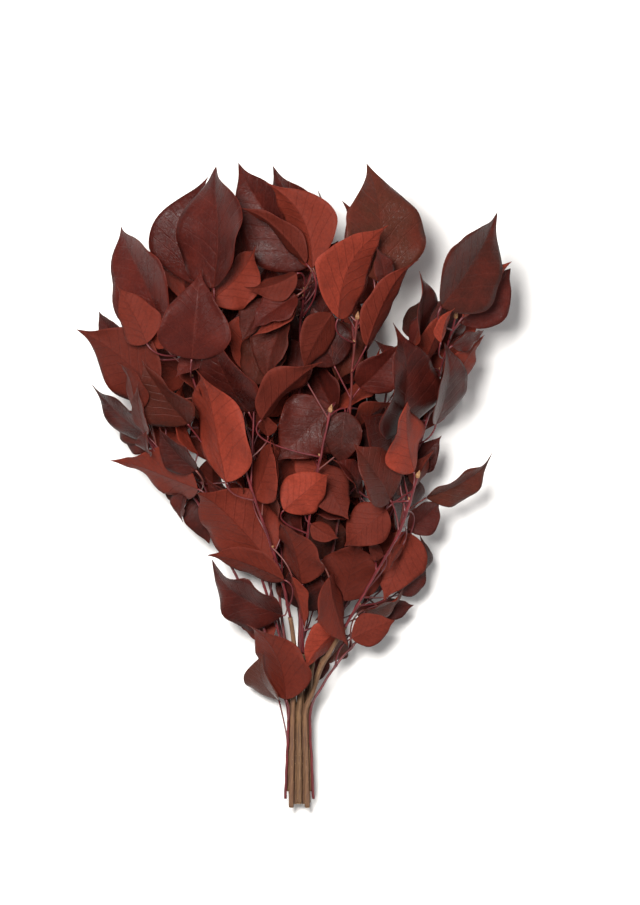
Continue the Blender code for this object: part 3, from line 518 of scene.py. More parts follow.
class Blade:
    """One leaf: where its blade and its petiole run, as functions of s along the midrib and t across."""

    def __init__(self, base, tip, width, up, draw, bow=0.0, size=1.0):
        self.base = base
        self.length = np.linalg.norm(tip - base) * size
        self.along = unit(tip - base)
        self.across = unit(np.cross(self.along, up))
        self.up = np.cross(self.across, self.along)
        self.width = width * size
        self.bow = bow
        self.arch = draw.uniform(0.03, 0.12) * self.length
        self.fold = draw.uniform(0.1, 0.35)
        self.hook = draw.uniform(-0.02, 0.12) * self.length
        self.wave = draw.uniform(0.02, 0.055) * self.width
        self.waves = draw.uniform(1.6, 2.6)
        self.phase = draw.uniform(0, math.tau)
        self.form = (draw.uniform(0.58, 0.8), draw.uniform(1.05, 1.4))
        self.hidden = False
        self.root = None
        self.sag = None

    def half(self, s):
        """Half width of the blade at s."""
        return profile(s, *self.form) * self.width / 2

    def stations(self):
        """Where along the midrib the solid has its rings."""
        return HIDDEN_STATIONS if self.hidden else BLADE_STATIONS

    def surface(self, s, t):
        """Mid surface of the blade: an arched midrib, two folded halves, a waved margin and a hooked tip."""
        s = np.asarray(s, float)[..., None]
        t = np.asarray(t, float)[..., None]
        half = self.half(s)
        side = np.where(t < 0, math.pi, 0.0)
        ripple = self.wave * t * t * np.sin(math.tau * self.waves * s + self.phase + side)
        ripple = ripple * np.minimum(1, 6 * s * (1 - s))
        rise = self.arch * 4 * s * (1 - s) - self.hook * np.maximum(0, (s - 0.6) / 0.4) ** 2
        lift = rise + np.abs(t) * half * math.sin(self.fold) + ripple
        sideways = t * half * math.cos(self.fold) + self.bow * np.sin(math.pi * s)
        points = self.base + self.along * self.length * s + self.across * sideways + self.up * lift
        points[..., 2] = np.maximum(points[..., 2], BLADE_THICK / 2)
        return points

    def petiole(self, u):
        """Way of the petiole from its root in the shoot, u = 0, to the blade, u = 1."""
        u = np.asarray(u, float)[..., None]
        bend = self.base + self.sag
        points = (1 - u) ** 2 * self.root + 2 * u * (1 - u) * bend + u * u * self.base
        points[..., 2] = np.maximum(points[..., 2], PETIOLE_RADIUS)
        return points

    def rings(self):
        """Rings of four points, left, top, right and bottom, from the petiole's root to near the tip."""
        stops = self.petiole(np.array((0.0, 1.0) if self.hidden else (0.0, 0.5, 1.0)))
        tangents = (stops[1] - stops[0], stops[-1] - stops[0], self.along)
        tangents = (tangents[0], self.along) if self.hidden else tangents
        top = self.up
        stalk = []
        for stop, tangent in zip(stops[::-1], tangents[::-1]):
            tangent = unit(tangent)
            top = unit(top - tangent * np.dot(top, tangent))
            right = np.cross(tangent, top)
            stalk.append(stop + PETIOLE_RADIUS * np.array((-right, top, right, -top)))
        blade = []
        for s in self.stations():
            rib = self.surface(s, 0.0)
            rise = self.up * BLADE_THICK / 2
            blade.append(np.array((self.surface(s, -1.0), rib + rise, self.surface(s, 1.0), rib - rise)))
        rings = np.array(stalk[::-1] + blade)
        rings[..., 2][rings[..., 2] < 0.5 * MM] = 0
        return rings

    def mesh(self):
        """The leaf as one closed solid: a thin petiole that opens into a blade, thickest along its midrib."""
        rings = self.rings()
        count = len(rings)
        points = np.vstack((rings.reshape(-1, 3), self.surface(1.0, 0.0)[None]))
        faces = [(0, 3, 2), (0, 2, 1)]
        for i in range(count - 1):
            for k in range(4):
                a = 4 * i + k
                b = 4 * i + (k + 1) % 4
                if k % 2 == 0:
                    faces += [(a, b, b + 4), (a, b + 4, a + 4)]
                else:
                    faces += [(a, b, a + 4), (b, b + 4, a + 4)]
        last = 4 * (count - 1)
        for k in range(4):
            faces.append((last + k, last + (k + 1) % 4, len(points) - 1))
        return points, faces

    def blade_hull(self):
        """A loose skin round the blade, for keeping it clear of its neighbours."""
        s = np.array((0.0, *self.stations(), 1.0))
        half = self.half(s)
        over = 1 + CLEARANCE / np.maximum(half, CLEARANCE)
        thick = self.up * CLEARANCE
        rib = self.surface(s, 0 * s)
        ribs = (self.surface(s, -over), rib, self.surface(s, over))
        ring = [line + thick for line in ribs] + [line - thick for line in ribs[::-1]]
        return loft(np.stack(ring, axis=1))

    def petiole_hull(self, clear_of_shoot):
        """A loose skin round the petiole, whole or from just off the shoot."""
        reach = np.linalg.norm(self.base - self.root)
        line = self.petiole(np.array((0.0, 0.5, 1.0)))
        line[0] += (line[1] - line[0]) * clear_of_shoot * min(0.8, 6 * MM / reach)
        radius = PETIOLE_RADIUS + 0.6 * MM
        side = unit(np.cross(self.base - self.root, self.up + 0.01))
        other = unit(np.cross(self.base - self.root, side))
        ring = [line + radius * way for way in (side, other, -side, -other)]
        return loft(np.stack(ring, axis=1))


def loft(rings):
    """Open band through rings of points, as a tree for finding crossings."""
    count, sides, _ = rings.shape
    i = np.arange(count - 1)[:, None] * sides
    k = np.arange(sides)
    after = (k + 1) % sides
    quads = np.stack((i + k, i + after, i + sides + after, i + sides + k), axis=-1)
    return Skin(rings.reshape(-1, 3), quads.reshape(-1, 4).tolist())


class Skin:
    """A surface with its box, to ask quickly whether another one crosses it."""

    def __init__(self, points, faces):
        self.points = points
        self.faces = faces
        self.low = points.min(axis=0)
        self.high = points.max(axis=0)
        self.made = None

    def tree(self):
        """The tree of the faces, made when it is first asked for."""
        if self.made is None:
            self.made = BVHTree.FromPolygons(self.points.tolist(), self.faces)
        return self.made

    def crosses(self, other):
        """Whether the two surfaces cross."""
        if np.any(self.low > other.high) or np.any(other.low > self.high):
            return False
        return bool(self.tree().overlap(other.tree()))


def tube_skin(path, radius):
    """A six-sided skin that holds a whole stem."""
    ways = np.gradient(path, axis=0)
    ways /= np.linalg.norm(ways, axis=1)[:, None]
    side = np.cross(ways, (0, 0, 1))
    side /= np.linalg.norm(side, axis=1)[:, None]
    other = np.cross(side, ways)
    turns = [k * math.pi / 3 for k in range(6)]
    ring = [path + 1.2 * radius * (side * math.cos(turn) + other * math.sin(turn)) for turn in turns]
    return loft(np.stack(ring, axis=1))


BENDS = ((0.45, 0), (0.25, 0), (0.6, 0), (0.45, -5), (0.45, 5), (0.3, -9))


class Bunch:
    """The leaves that have found a place, and what is in the way of the next one."""

    def __init__(self):
        self.draw = random.Random(SEED)
        self.shoots = {}
        self.woods = {}
        self.leaves = {name: [] for name in STEMS}
        self.skins = []
        self.lows = np.zeros((2000, 3))
        self.highs = np.zeros((2000, 3))
        for name in STEMS:
            wood, shoot = split_stem(name)
            self.woods[name] = wood
            self.shoots[name] = shoot
            self.keep(name, "stem", tube_skin(shoot, SHOOT_RADIUS))
            if wood is not None:
                self.keep(name, "stem", tube_skin(wood, WOOD_RADIUS))

    def keep(self, name, kind, skin):
        """Notes a surface that later leaves have to clear."""
        self.lows[len(self.skins)] = skin.low
        self.highs[len(self.skins)] = skin.high
        self.skins.append((name, kind, skin))

    def near(self, hull):
        """The noted surfaces whose boxes meet that of a hull."""
        count = len(self.skins)
        meet = np.all((self.lows[:count] <= hull.high) & (self.highs[:count] >= hull.low), axis=1)
        return [self.skins[i] for i in np.flatnonzero(meet)]

    def blade_is_clear(self, blade):
        """Whether a blade crosses nothing that has a place."""
        hull = blade.blade_hull()
        return not any(hull.crosses(skin) for _, _, skin in self.near(hull))

    def petiole_is_clear(self, blade, shoot):
        """Whether a petiole crosses nothing but the shoot that it grows from."""
        whole = blade.petiole_hull(False)
        free = blade.petiole_hull(True)
        for name, kind, skin in self.near(whole):
            if name != shoot and whole.crosses(skin):
                return False
            if name == shoot and kind != "stem" and free.crosses(skin):
                return False
        return True

    def roots(self, shoot, blade):
        """Places on a shoot for a petiole to start, the likeliest first."""
        path = even_points(self.shoots[shoot][:-2], 3 * MM)[2:]
        used = [leaf.root for leaf in self.leaves[shoot]]
        free = [all(np.linalg.norm(point - root) > 2.6 * MM for root in used) for point in path]
        path = path[free]
        span = blade.base - path
        reach = np.linalg.norm(span, axis=1)
        short, long = PETIOLE_REACH
        wanted = np.clip(reach, short, long)
        ahead = span @ blade.along / reach
        score = 3 * np.abs(reach - wanted) + 0.4 * np.abs(reach - 30 * MM) + (1 - ahead) * 15 * MM
        score = score[ahead > -0.2]
        return path[ahead > -0.2][np.argsort(score)[:24:3]]

    def settle(self, shoot, blade):
        """Roots a blade that is clear of everything on its shoot, if a petiole finds a way."""
        for root in self.roots(shoot, blade):
            reach = np.linalg.norm(blade.base - root)
            for share, drop in BENDS[:1] if blade.hidden else BENDS:
                blade.root = root
                blade.sag = -blade.along * reach * share + np.array((0, 0, drop * MM))
                if blade.hidden:
                    blade.sag = (root - blade.base) / 2
                points, faces = blade.mesh()
                foot = 10 if blade.hidden else 18
                if blade.petiole_hull(True).crosses(Skin(points, faces[foot + 8:])):
                    continue
                if self.petiole_is_clear(blade, shoot):
                    self.leaves[shoot].append(blade)
                    self.keep(shoot, "stalk", Skin(points, faces[:foot]))
                    self.keep(shoot, "blade", Skin(points, faces[foot:]))
                    return True
        return False


def seen_blade(leaf, sink, tuck, roll_by, size, draw):
    """A leaf of the photograph, put in space: it follows the rounded outside of the bunch."""
    ends = []
    for (column, row), recess in ((leaf.base, FOOT_RECESS + tuck), (leaf.tip, 0)):
        height = core(row) + swell(column, row) - leaf.depth * MM - recess - sink
        ends.append(spot(column, row, max(height, 1.5 * MM)))
    base, tip = ends
    along = unit(tip - base)
    length = np.linalg.norm(tip - base)
    shown = leaf.width * PIXEL
    width = max(shown, min(length / LENGTH_TO_WIDTH, 1.7 * shown))
    level = unit(np.cross(along, (0, 0, 1)))
    facing = np.cross(level, along)
    middle = (rows(LEFT_EDGE, leaf.tip[1]) + rows(RIGHT_EDGE, leaf.tip[1])) / 2
    outward = math.copysign(1, leaf.tip[0] - middle)
    lean = math.acos(shown / width) * math.copysign(1, -level[0] * outward) + roll_by
    up = facing * math.cos(lean) - level * math.sin(lean)
    return Blade(base, tip, width, up * leaf.face, draw, leaf.bow * PIXEL * leaf.face, size)


SINKS_MM = (0, 1.5, 3, 5, 7, 9, 12, 15, 19, 24, 30, 38)
TUCKS_MM = (0, -6, 7, 14)
ROLLS = (0, 0.14, -0.14, 0.3, -0.3, 0.5, -0.5)
SIZES = (1, 0.9, 0.78)


def poses():
    """Ways to shift a leaf from where the photograph has it, the slightest first: size, sink, tuck, roll."""
    ways = itertools.product(SIZES, SINKS_MM, TUCKS_MM, ROLLS)
    return sorted(ways, key=lambda way: (1 - way[0]) * 90 + way[1] + abs(way[2]) * 0.25 + abs(way[3]) * 9)


def add_seen_leaves(bunch):
    """The leaves of the photograph, the outermost first, so that each later one slips in beneath."""
    queue = []
    for name in STEMS:
        for i, leaf in enumerate(LEAVES.get(name, ())):
            queue.append((leaf.depth - 0.05 * leaf.width, name, i, leaf))
    queue.sort(key=lambda entry: entry[:3])
    ways = poses()
    for _, name, _, leaf in queue:
        state = bunch.draw.getstate()
        for size, sink, tuck, roll in ways:
            bunch.draw.setstate(state)
            blade = seen_blade(leaf, sink * MM, tuck * MM, roll, size, bunch.draw)
            if bunch.blade_is_clear(blade) and bunch.settle(name, blade):
                break


def add_resting_leaves(bunch):
    """The leaves pressed flat on the table, their upper faces down."""
    for name, base, tip, width in RESTING:
        for shift in (0, 8, -8, 16, -16, 24):
            low = BLADE_THICK / 2
            start = spot(base[0], base[1] + shift, 3 * MM)
            end = spot(tip[0], tip[1] + shift, low)
            blade = Blade(start, end, width * PIXEL, np.array((0, 0, -1.0)), bunch.draw)
            blade.arch = 3 * MM
            blade.hook = 0
            if bunch.blade_is_clear(blade) and bunch.settle(name, blade):
                break


def within(points, corners):
    """Which points of a plane lie within a polygon."""
    x, y = points[:, 0], points[:, 1]
    inside = np.zeros(len(points), bool)
    for (x0, y0), (x1, y1) in zip(np.roll(corners, 1, axis=0), corners):
        if y0 != y1:
            inside ^= ((y < y0) != (y < y1)) & (x < x0 + (y - y0) * (x1 - x0) / (y1 - y0))
    return inside


def on_photo(points):
    """Columns and rows of points, as pixels."""
    return np.stack((points[:, 0] / PIXEL + PHOTO_MIDDLE[0], PHOTO_MIDDLE[1] - points[:, 1] / PIXEL), axis=1)


def rim(blade):
    """Eight points round a blade, from its base up one side and down the other."""
    s = np.array((0.0, 0.15, 0.4, 0.7, 1.0, 0.7, 0.4, 0.15))
    t = np.array((0.0, -1, -1, -1, 0, 1, 1, 1))
    return blade.surface(s, t)


def hidden_blade(bunch, name, draw):
    """A leaf drawn by rule from its shoot, turned to the outside of the bunch; None if it would show."""
    path = bunch.shoots[name]
    place = draw.uniform(0.1, 1) * (len(path) - 1.001)
    index = int(place)
    root = path[index] + (place - index) * (path[index + 1] - path[index])
    way = unit(path[index + 1] - path[index])
    turn = draw.uniform(0, math.tau)
    side = unit(np.cross(way, (0.0, 0.0, 1.0)))
    lift = np.cross(side, way)
    radial = side * math.cos(turn) + lift * math.sin(turn)
    spread = draw.uniform(0.5, 1.35)
    toward = unit(way * math.cos(spread) + radial * math.sin(spread))
    base = root + toward * draw.uniform(16, 44) * MM
    along = unit(toward + way * draw.uniform(0, 0.8) + np.array((0, 0, draw.uniform(-0.3, 0.15))))
    length = draw.uniform(36, 78) * MM
    tip = base + along * length
    column = tip[0] / PIXEL + PHOTO_MIDDLE[0]
    row = PHOTO_MIDDLE[1] - tip[1] / PIXEL
    if row > 700:
        return None
    middle = (rows(LEFT_EDGE, row) + rows(RIGHT_EDGE, row)) / 2
    outside = np.array(((column - middle) * PIXEL, 0.0, tip[2] - core(row) - 8 * MM))
    outside += np.array([draw.uniform(-12, 12) * MM for _ in range(3)])
    up = outside - along * np.dot(outside, along)
    if np.linalg.norm(up) < 4 * MM:
        return None
    up = unit(up) * (1 if draw.random() < 0.65 else -1)
    blade = Blade(base, tip, length / draw.uniform(1.15, 1.55), up, draw)
    blade.hidden = True
    edge = rim(blade)
    if min(base[2], tip[2]) < -12 * MM or not within(on_photo(edge), np.array(OUTLINE, float)).all():
        return None
    for point, (column, row) in zip(edge, on_photo(edge)):
        if point[2] > core(row) + max(0.0, swell(column, row) - 18 * MM):
            return None
        if point[2] < core(row) - 1.1 * rows(HALF_DEPTH_MM, row) * MM:
            return None
    return blade


def add_hidden_leaves(bunch):
    """The leaves that fill the inside and the far side. Of a few that could grow, the one that closes the
    most of the gaps seen from above or, on every third turn, from below, is tried first."""
    rows_, columns = np.mgrid[160:700:6, 80:520:6]
    cells = np.stack((columns.ravel(), rows_.ravel()), axis=1).astype(float)
    cells = cells[within(cells, np.array(OUTLINE, float))]
    above = np.ones(len(cells))
    below = np.ones(len(cells))
    for leaves in bunch.leaves.values():
        for blade in leaves:
            above[within(cells, on_photo(rim(blade)))] *= 0.15
    turns = [name for count in range(16) for name in STEMS if STEMS[name].fill > count]
    for turn, name in enumerate(turns):
        gaps = below if turn % 3 == 2 else above
        found = []
        for _ in range(60):
            blade = hidden_blade(bunch, name, bunch.draw)
            if blade is not None:
                covered = within(cells, on_photo(rim(blade)))
                found.append((-float(gaps[covered].sum()), len(found), blade, covered))
        found.sort(key=lambda entry: entry[:2])
        for _, _, blade, covered in found[:30]:
            if bunch.blade_is_clear(blade) and bunch.settle(name, blade):
                above[covered] *= 0.3
                below[covered] *= 0.3
                break


@functools.lru_cache(maxsize=1)
def laid_out():
    """The bunch with every leaf in its place, worked out once."""
    bunch = Bunch()
    add_seen_leaves(bunch)
    add_resting_leaves(bunch)
    add_hidden_leaves(bunch)
    return bunch


class Build:
    """Points, faces and their attributes, gathered from many small grids into one mesh."""

    def __init__(self):
        self.points = []
        self.faces = []
        self.uv = []
        self.values = collections.defaultdict(list)
        self.slots = []
        self.count = 0

    def add(self, points, faces, uv, slot=0, **values):
        """Adds a grid; uv has a pair for each point, and each value is one number or one for each point."""
        self.points.append(points)
        self.faces.append(faces + self.count)
        self.uv.append(uv)
        self.slots.append(np.full(len(faces), slot))
        for name, value in values.items():
            value = np.asarray(value, float)
            shape = (len(points), 3) if value.shape[-1:] == (3,) else (len(points),)
            self.values[name].append(np.broadcast_to(value, shape))
        self.count += len(points)

    def piece(self, name, materials):
        """Makes the object, smooth shaded, at the origin."""
        points = np.vstack(self.points)
        faces = np.vstack(self.faces)
        mesh = bpy.data.meshes.new(name)
        mesh.vertices.add(len(points))
        mesh.vertices.foreach_set("co", points.astype(np.float32).ravel())
        mesh.loops.add(faces.size)
        mesh.loops.foreach_set("vertex_index", faces.astype(np.int32).ravel())
        mesh.polygons.add(len(faces))
        mesh.polygons.foreach_set("loop_start", np.arange(0, faces.size, 4, dtype=np.int32))
        mesh.polygons.foreach_set("material_index", np.concatenate(self.slots).astype(np.int32))
        mesh.polygons.foreach_set("use_smooth", np.ones(len(faces), bool))
        layer = mesh.uv_layers.new(name="leaf")
        layer.data.foreach_set("uv", np.vstack(self.uv)[faces.ravel()].astype(np.float32).ravel())
        for value, parts in self.values.items():
            joined = np.concatenate(parts)
            if joined.ndim == 2:
                stored = mesh.attributes.new(value, "FLOAT_VECTOR", "POINT")
                stored.data.foreach_set("vector", joined.astype(np.float32).ravel())
            else:
                stored = mesh.attributes.new(value, "FLOAT", "POINT")
                stored.data.foreach_set("value", joined.astype(np.float32))
        mesh.update(calc_edges=True)
        mesh.validate()
        for material in materials:
            mesh.materials.append(material)
        piece = bpy.data.objects.new(name, mesh)
        bpy.context.scene.collection.objects.link(piece)
        return piece


def grid_faces(rows_, columns, wrap):
    """Quads of a grid of points, joined round if it wraps."""
    i = np.arange(rows_ - 1)[:, None] * columns
    j = np.arange(columns if wrap else columns - 1)
    after = (j + 1) % columns
    quads = np.stack((i + j, i + after, i + columns + after, i + columns + j), axis=-1)
    return quads.reshape(-1, 4)


def unit_rows(vectors):
    return vectors / np.maximum(np.linalg.norm(vectors, axis=-1, keepdims=True), 1e-9)


def fine_blade(build, leaf, look, draw):
    """One blade as a thin closed shell. Its middle is the leaf's surface plus a small quilting between side
    veins and a ripple at the margin; the two faces stand off it along its normal, less at the margin, with a
    groove along the midrib above and a ridge below."""
    count = look.rows
    across = look.columns
    q = np.linspace(0, 1, count)[:, None]
    s = 0.003 + 0.994 * (0.4 * q + 0.6 * (1 - np.cos(np.pi * q)) / 2)
    c = np.linspace(-1, 1, across)[None, :]
    t = np.sign(c) * np.abs(c) ** 1.35
    flip = np.where(t < 0, 0.5, 0.0)
    shoulder = 0.05 * np.exp(-(((s - 0.3) / 0.15) ** 2))
    drip = look.drip * np.exp(-(((s - 0.92) / 0.09) ** 2))
    uneven = 0.035 * np.sin(11 * s + 8 * flip + draw.uniform(0, 6)) * np.sin(math.pi * s)
    breadth = 1 + shoulder - drip + uneven
    middle = leaf.surface(s, t * breadth)
    half = leaf.half(s) * breadth
    share = min(1.0, leaf.width / look.full_width)
    veins = look.side_veins * (s - 0.9 * np.abs(t) * half / leaf.length) + flip
    quilt = look.quilting * np.sin(math.tau * veins) * np.abs(t) ** 0.7 * (1 - t**6)
    edge = np.sin(math.tau * (1.7 * s + flip) + draw.uniform(0, 6)) * np.abs(t) ** 2.5
    edge += 0.35 * np.sin(math.tau * (leaf.waves * 1.9 * s + flip) + draw.uniform(0, 6)) * np.abs(t) ** 5
    rolled = draw.uniform(-1.2, 1.2) * np.abs(t) ** 6 * np.exp(-(((s - draw.uniform(0.3, 0.7)) / 0.2) ** 2))
    edge = edge + rolled * np.where(t < 0, 1, draw.uniform(-1, 0.3))
    edge = look.ripple * share * edge * np.sin(math.pi * s)
    sway = np.sin(math.tau * (draw.uniform(1, 1.6) * s + 0.5 * t) + draw.uniform(0, 6))
    sway = sway * np.cos(math.tau * (draw.uniform(0.5, 0.9) * t - 0.5 * s) + draw.uniform(0, 6))
    edge = edge + look.sway * share * sway * np.sin(math.pi * s) * (1 - 0.5 * t**2)
    normal = unit_rows(np.cross(np.gradient(middle, axis=1), np.gradient(middle, axis=0)))
    middle = middle + normal * (quilt * 0.5 * share + edge)[..., None]
    normal = unit_rows(np.cross(np.gradient(middle, axis=1), np.gradient(middle, axis=0)))
    offset = np.abs(t) * half
    rib = np.exp(-((offset / look.rib_width) ** 2)) * (1 - s) ** 0.6
    thick = look.thickness / 2 * (1 - 0.7 * t**6)
    upper = middle + normal * (thick - 0.35 * look.rib_height * rib)[..., None]
    under = middle - normal * (thick + look.rib_height * rib)[..., None]
    points = np.concatenate((upper.reshape(-1, 3), under.reshape(-1, 3)))
    points[:, 2] = np.maximum(points[:, 2], 0)
    size = count * across
    top = grid_faces(count, across, False)
    bottom = top[:, (0, 3, 2, 1)] + size
    index = np.arange(size).reshape(count, across)
    loop_ = np.concatenate((index[0, :-1], index[:-1, -1], index[-1, :0:-1], index[:0:-1, 0]))
    after = np.roll(loop_, -1)
    rim = np.stack((after, loop_, loop_ + size, after + size), axis=-1)
    uv = np.stack(np.broadcast_arrays(s, 0.5 + t * half / leaf.length), axis=-1).reshape(-1, 2)
    # How far out across the blade each point lies; the leaf material paints a highlight along the outermost
    # margin from it.
    side = np.repeat((0.0, 1.0), size)
    rim_share = np.tile(np.broadcast_to(np.abs(t), (count, across)).ravel(), 2)
    build.add(
        points,
        np.vstack((top, bottom, rim)),
        np.vstack((uv, uv)),
        side=side,
        margin=rim_share,
        tone=[draw.random() for _ in range(3)],
    )


def tube(build, path, radii, sides, slot=0, reference=(0.0, 0.0, 1.0), relief=None, **values):
    """A round tube along a path with closed ends; relief, if given, scales the radius at each angle and
    point. uv runs round the tube and, in metres, along it."""
    path = np.asarray(path)
    ways = unit_rows(np.gradient(path, axis=0))
    side = unit_rows(np.cross(ways, reference))
    other = np.cross(side, ways)
    angle = np.arange(sides) / sides * math.tau
    ring = side[:, None] * np.cos(angle)[None, :, None] + other[:, None] * np.sin(angle)[None, :, None]
    radii = np.broadcast_to(np.asarray(radii, float), (len(path),))
    reach = radii[:, None] * (1 if relief is None else relief)
    points = path[:, None] + ring * np.broadcast_to(reach, (len(path), sides))[..., None]
    points = np.concatenate((path[:1, None] + 0 * points[:1], points, path[-1:, None] + 0 * points[:1]))
    points[0] = path[0] + LID_SHARE * (points[1] - path[0])
    points[-1] = path[-1] + LID_SHARE * (points[-2] - path[-1])
    flat = points.reshape(-1, 3)
    flat[:, 2] = np.maximum(flat[:, 2], 0)
    faces = grid_faces(len(points), sides, True)[:, ::-1]
    centres = np.stack((path[0], path[-1]))
    first = len(flat)
    flat = np.vstack((flat, centres))
    last = first - sides
    pairs = np.arange(sides).reshape(-1, 2).T
    low = np.stack((np.full(sides // 2, first), *pairs, (pairs[1] + 1) % sides), axis=-1)
    high = low[:, (0, 3, 2, 1)] + (1, last, last, last)
    along = np.concatenate(((0,), np.cumsum(np.linalg.norm(np.diff(path, axis=0), axis=1))))
    along = np.concatenate((along[:1], along, along[-1:]))
    turn = np.broadcast_to(angle / math.tau, (len(points), sides))
    uv = np.stack((turn, np.broadcast_to(along[:, None], turn.shape)), axis=-1).reshape(-1, 2)
    uv = np.vstack((uv, (0.5, along[0]), (0.5, along[-1])))
    build.add(flat, np.vstack((faces, low, high)), uv, slot, **values)


def least_along(direction):
    """The axis that a direction runs least along."""
    axis = np.zeros(3)
    axis[int(np.argmin(np.abs(direction)))] = 1.0
    return axis


def fine_petiole(build, leaf, look, draw):
    """A petiole from inside the shoot to inside the blade: a bow with a swollen foot and a narrower waist."""
    u = np.linspace(0, 1, 15)
    path = leaf.petiole(u)
    radius = look.petiole * (1 + 0.7 * np.exp(-((u / 0.09) ** 2)) + 0.25 * np.exp(-(((1 - u) / 0.08) ** 2)))
    reference = least_along(leaf.base - leaf.root)
    tube(build, path, radius, 8, reference=reference, shade=draw.uniform(0, 1))


def fine_shoot(build, path, leaves, draw):
    """The leafy shoot: a thin stem that thickens at every leaf and zigzags a little between them."""
    line = smooth_path(path[:-2], 3 * MM)
    along = np.linspace(0, 1, len(line))
    radius = SHOOT_RADIUS * (0.98 - 0.3 * along)
    for leaf in leaves:
        near = np.linalg.norm(line - leaf.root, axis=1)
        radius = radius + 0.35 * MM * np.exp(-((near / (2.2 * MM)) ** 2))
    wobble = 0.15 * MM * np.sin(along * 60 + draw.uniform(0, 6))
    line = line + wobble[:, None] * np.array((1.0, 0.0, 0.6))
    tube(build, line, radius, 12, shade=draw.uniform(0, 1))


def fine_bud(build, start, way, length, width, draw, slot=0):
    """A pointed bud of three overlapping scales, each a swollen spindle turned a little outwards."""
    way = unit_rows(np.asarray(way))
    reference = least_along(way)
    side = unit_rows(np.cross(way, reference))
    other = np.cross(way, side)
    u = np.linspace(0, 1, 11)
    swell_ = np.sin(np.pi * np.clip(u, 0.03, 0.97) ** 0.75) ** 0.8
    for k in range(3):
        angle = k * math.tau / 3 + draw.uniform(-0.3, 0.3)
        lean = side * math.cos(angle) + other * math.sin(angle)
        reach = length * (1 - 0.14 * k)
        path = start + way * (u * reach)[:, None] + lean * (np.sin(np.pi * u) * width * 0.22)[:, None]
        tube(build, path, width / 2 * swell_ * (1 - 0.12 * k), 10, slot, reference, shade=draw.random())


def fine_wood(build, path, draw):
    """A woody stem: lengthwise ridges, swollen leaf scars every few centimetres and a clean cut end."""
    line = smooth_path(path, 2 * MM)
    along = np.concatenate(((0,), np.cumsum(np.linalg.norm(np.diff(line, axis=0), axis=1))))
    radius = WOOD_RADIUS * (1 - 0.18 * along / along[-1])
    place = draw.uniform(8, 24) * MM
    while place < along[-1] - 6 * MM:
        radius = radius + 0.35 * MM * np.exp(-(((along - place) / (2.4 * MM)) ** 2))
        place += draw.uniform(17, 34) * MM
    sides = 24
    angle = np.arange(sides) / sides * math.tau
    lobes = np.zeros((len(line), sides))
    for count, size in ((2, 0.05), (3, 0.035), (5, 0.025), (9, 0.018)):
        drift = draw.uniform(0, 6) + along[:, None] * draw.uniform(-9, 9)
        lobes = lobes + size * np.sin(count * angle + drift)
    rough = 0.02 * np.sin(along[:, None] * 1500 + 4 * angle) * np.sin(along[:, None] * 410 + angle)
    tube(build, line, radius * 0.97, sides, relief=1 + lobes * 0.8 + rough, shade=draw.random())
    way = unit_rows(line[0] - line[3])
    face = np.array((line[0], line[0] + way * 0.35 * MM))
    tube(build, face, WOOD_RADIUS * 0.86, sides, 1, shade=0.5)


def colour(red, green, blue):
    """Linear colour from sRGB numbers out of 255."""
    shares = [value / 255 for value in (red, green, blue)]
    return (*(v / 12.92 if v <= 0.04045 else ((v + 0.055) / 1.055) ** 2.4 for v in shares), 1.0)


class Graph:
    """Short ways to add nodes to a node tree and join them."""

    def __init__(self, tree):
        self.tree = tree

    def fill(self, node, inputs):
        """Links or sets a node's inputs; one given as None keeps its default."""
        for name, value in inputs.items():
            if isinstance(value, bpy.types.NodeSocket):
                self.tree.links.new(value, node.inputs[name])
            elif value is not None:
                node.inputs[name].default_value = value

    def node(self, kind, inputs=None, **settings):
        node = self.tree.nodes.new(kind)
        for name, value in settings.items():
            setattr(node, name, value)
        self.fill(node, inputs or {})
        return node

    def math(self, operation, a, b=None, c=None):
        return self.node("ShaderNodeMath", {0: a, 1: b, 2: c}, operation=operation).outputs[0]

    def times(self, a, b):
        return self.math("MULTIPLY", a, b)

    def inverse(self, mask):
        return self.math("SUBTRACT", 1.0, mask)

    def ramp(self, value, low, high, to_low=0.0, to_high=1.0):
        settings = {"Value": value, "From Min": low, "From Max": high, "To Min": to_low, "To Max": to_high}
        return self.node("ShaderNodeMapRange", settings, interpolation_type="SMOOTHSTEP").outputs["Result"]

    def blend(self, share, a, b, mode="MIX"):
        """Mixes two colours, each an output or sRGB numbers out of 255."""
        a, b = (colour(*side) if isinstance(side, tuple) else side for side in (a, b))
        inputs = {"Factor": share, "A": a, "B": b}
        return self.node("ShaderNodeMix", inputs, data_type="RGBA", blend_type=mode).outputs["Result"]

    def noise(self, vector, scale, detail, roughness=None):
        inputs = {"Vector": vector, "Scale": scale, "Detail": detail, "Roughness": roughness}
        return self.node("ShaderNodeTexNoise", inputs).outputs["Fac"]

    def borders(self, vector, scale):
        """Distance to the nearest border between random cells."""
        inputs = {"Vector": vector, "Scale": scale, "Randomness": 1.0}
        return self.node("ShaderNodeTexVoronoi", inputs, feature="DISTANCE_TO_EDGE").outputs["Distance"]

    def attribute(self, name, output="Fac"):
        return self.node("ShaderNodeAttribute", attribute_name=name).outputs[output]

    def place(self):
        return self.node("ShaderNodeTexCoord").outputs["Object"]

    def uv(self):
        return self.node("ShaderNodeUVMap", uv_map="leaf").outputs["UV"]

    def stretch(self, uv, across, along):
        scale = (across, along, 1.0)
        return self.node("ShaderNodeVectorMath", {0: uv, 1: scale}, operation="MULTIPLY").outputs[0]

    def bump(self, height, strength, distance):
        inputs = {"Height": height, "Strength": strength, "Distance": distance}
        return self.node("ShaderNodeBump", inputs).outputs["Normal"]


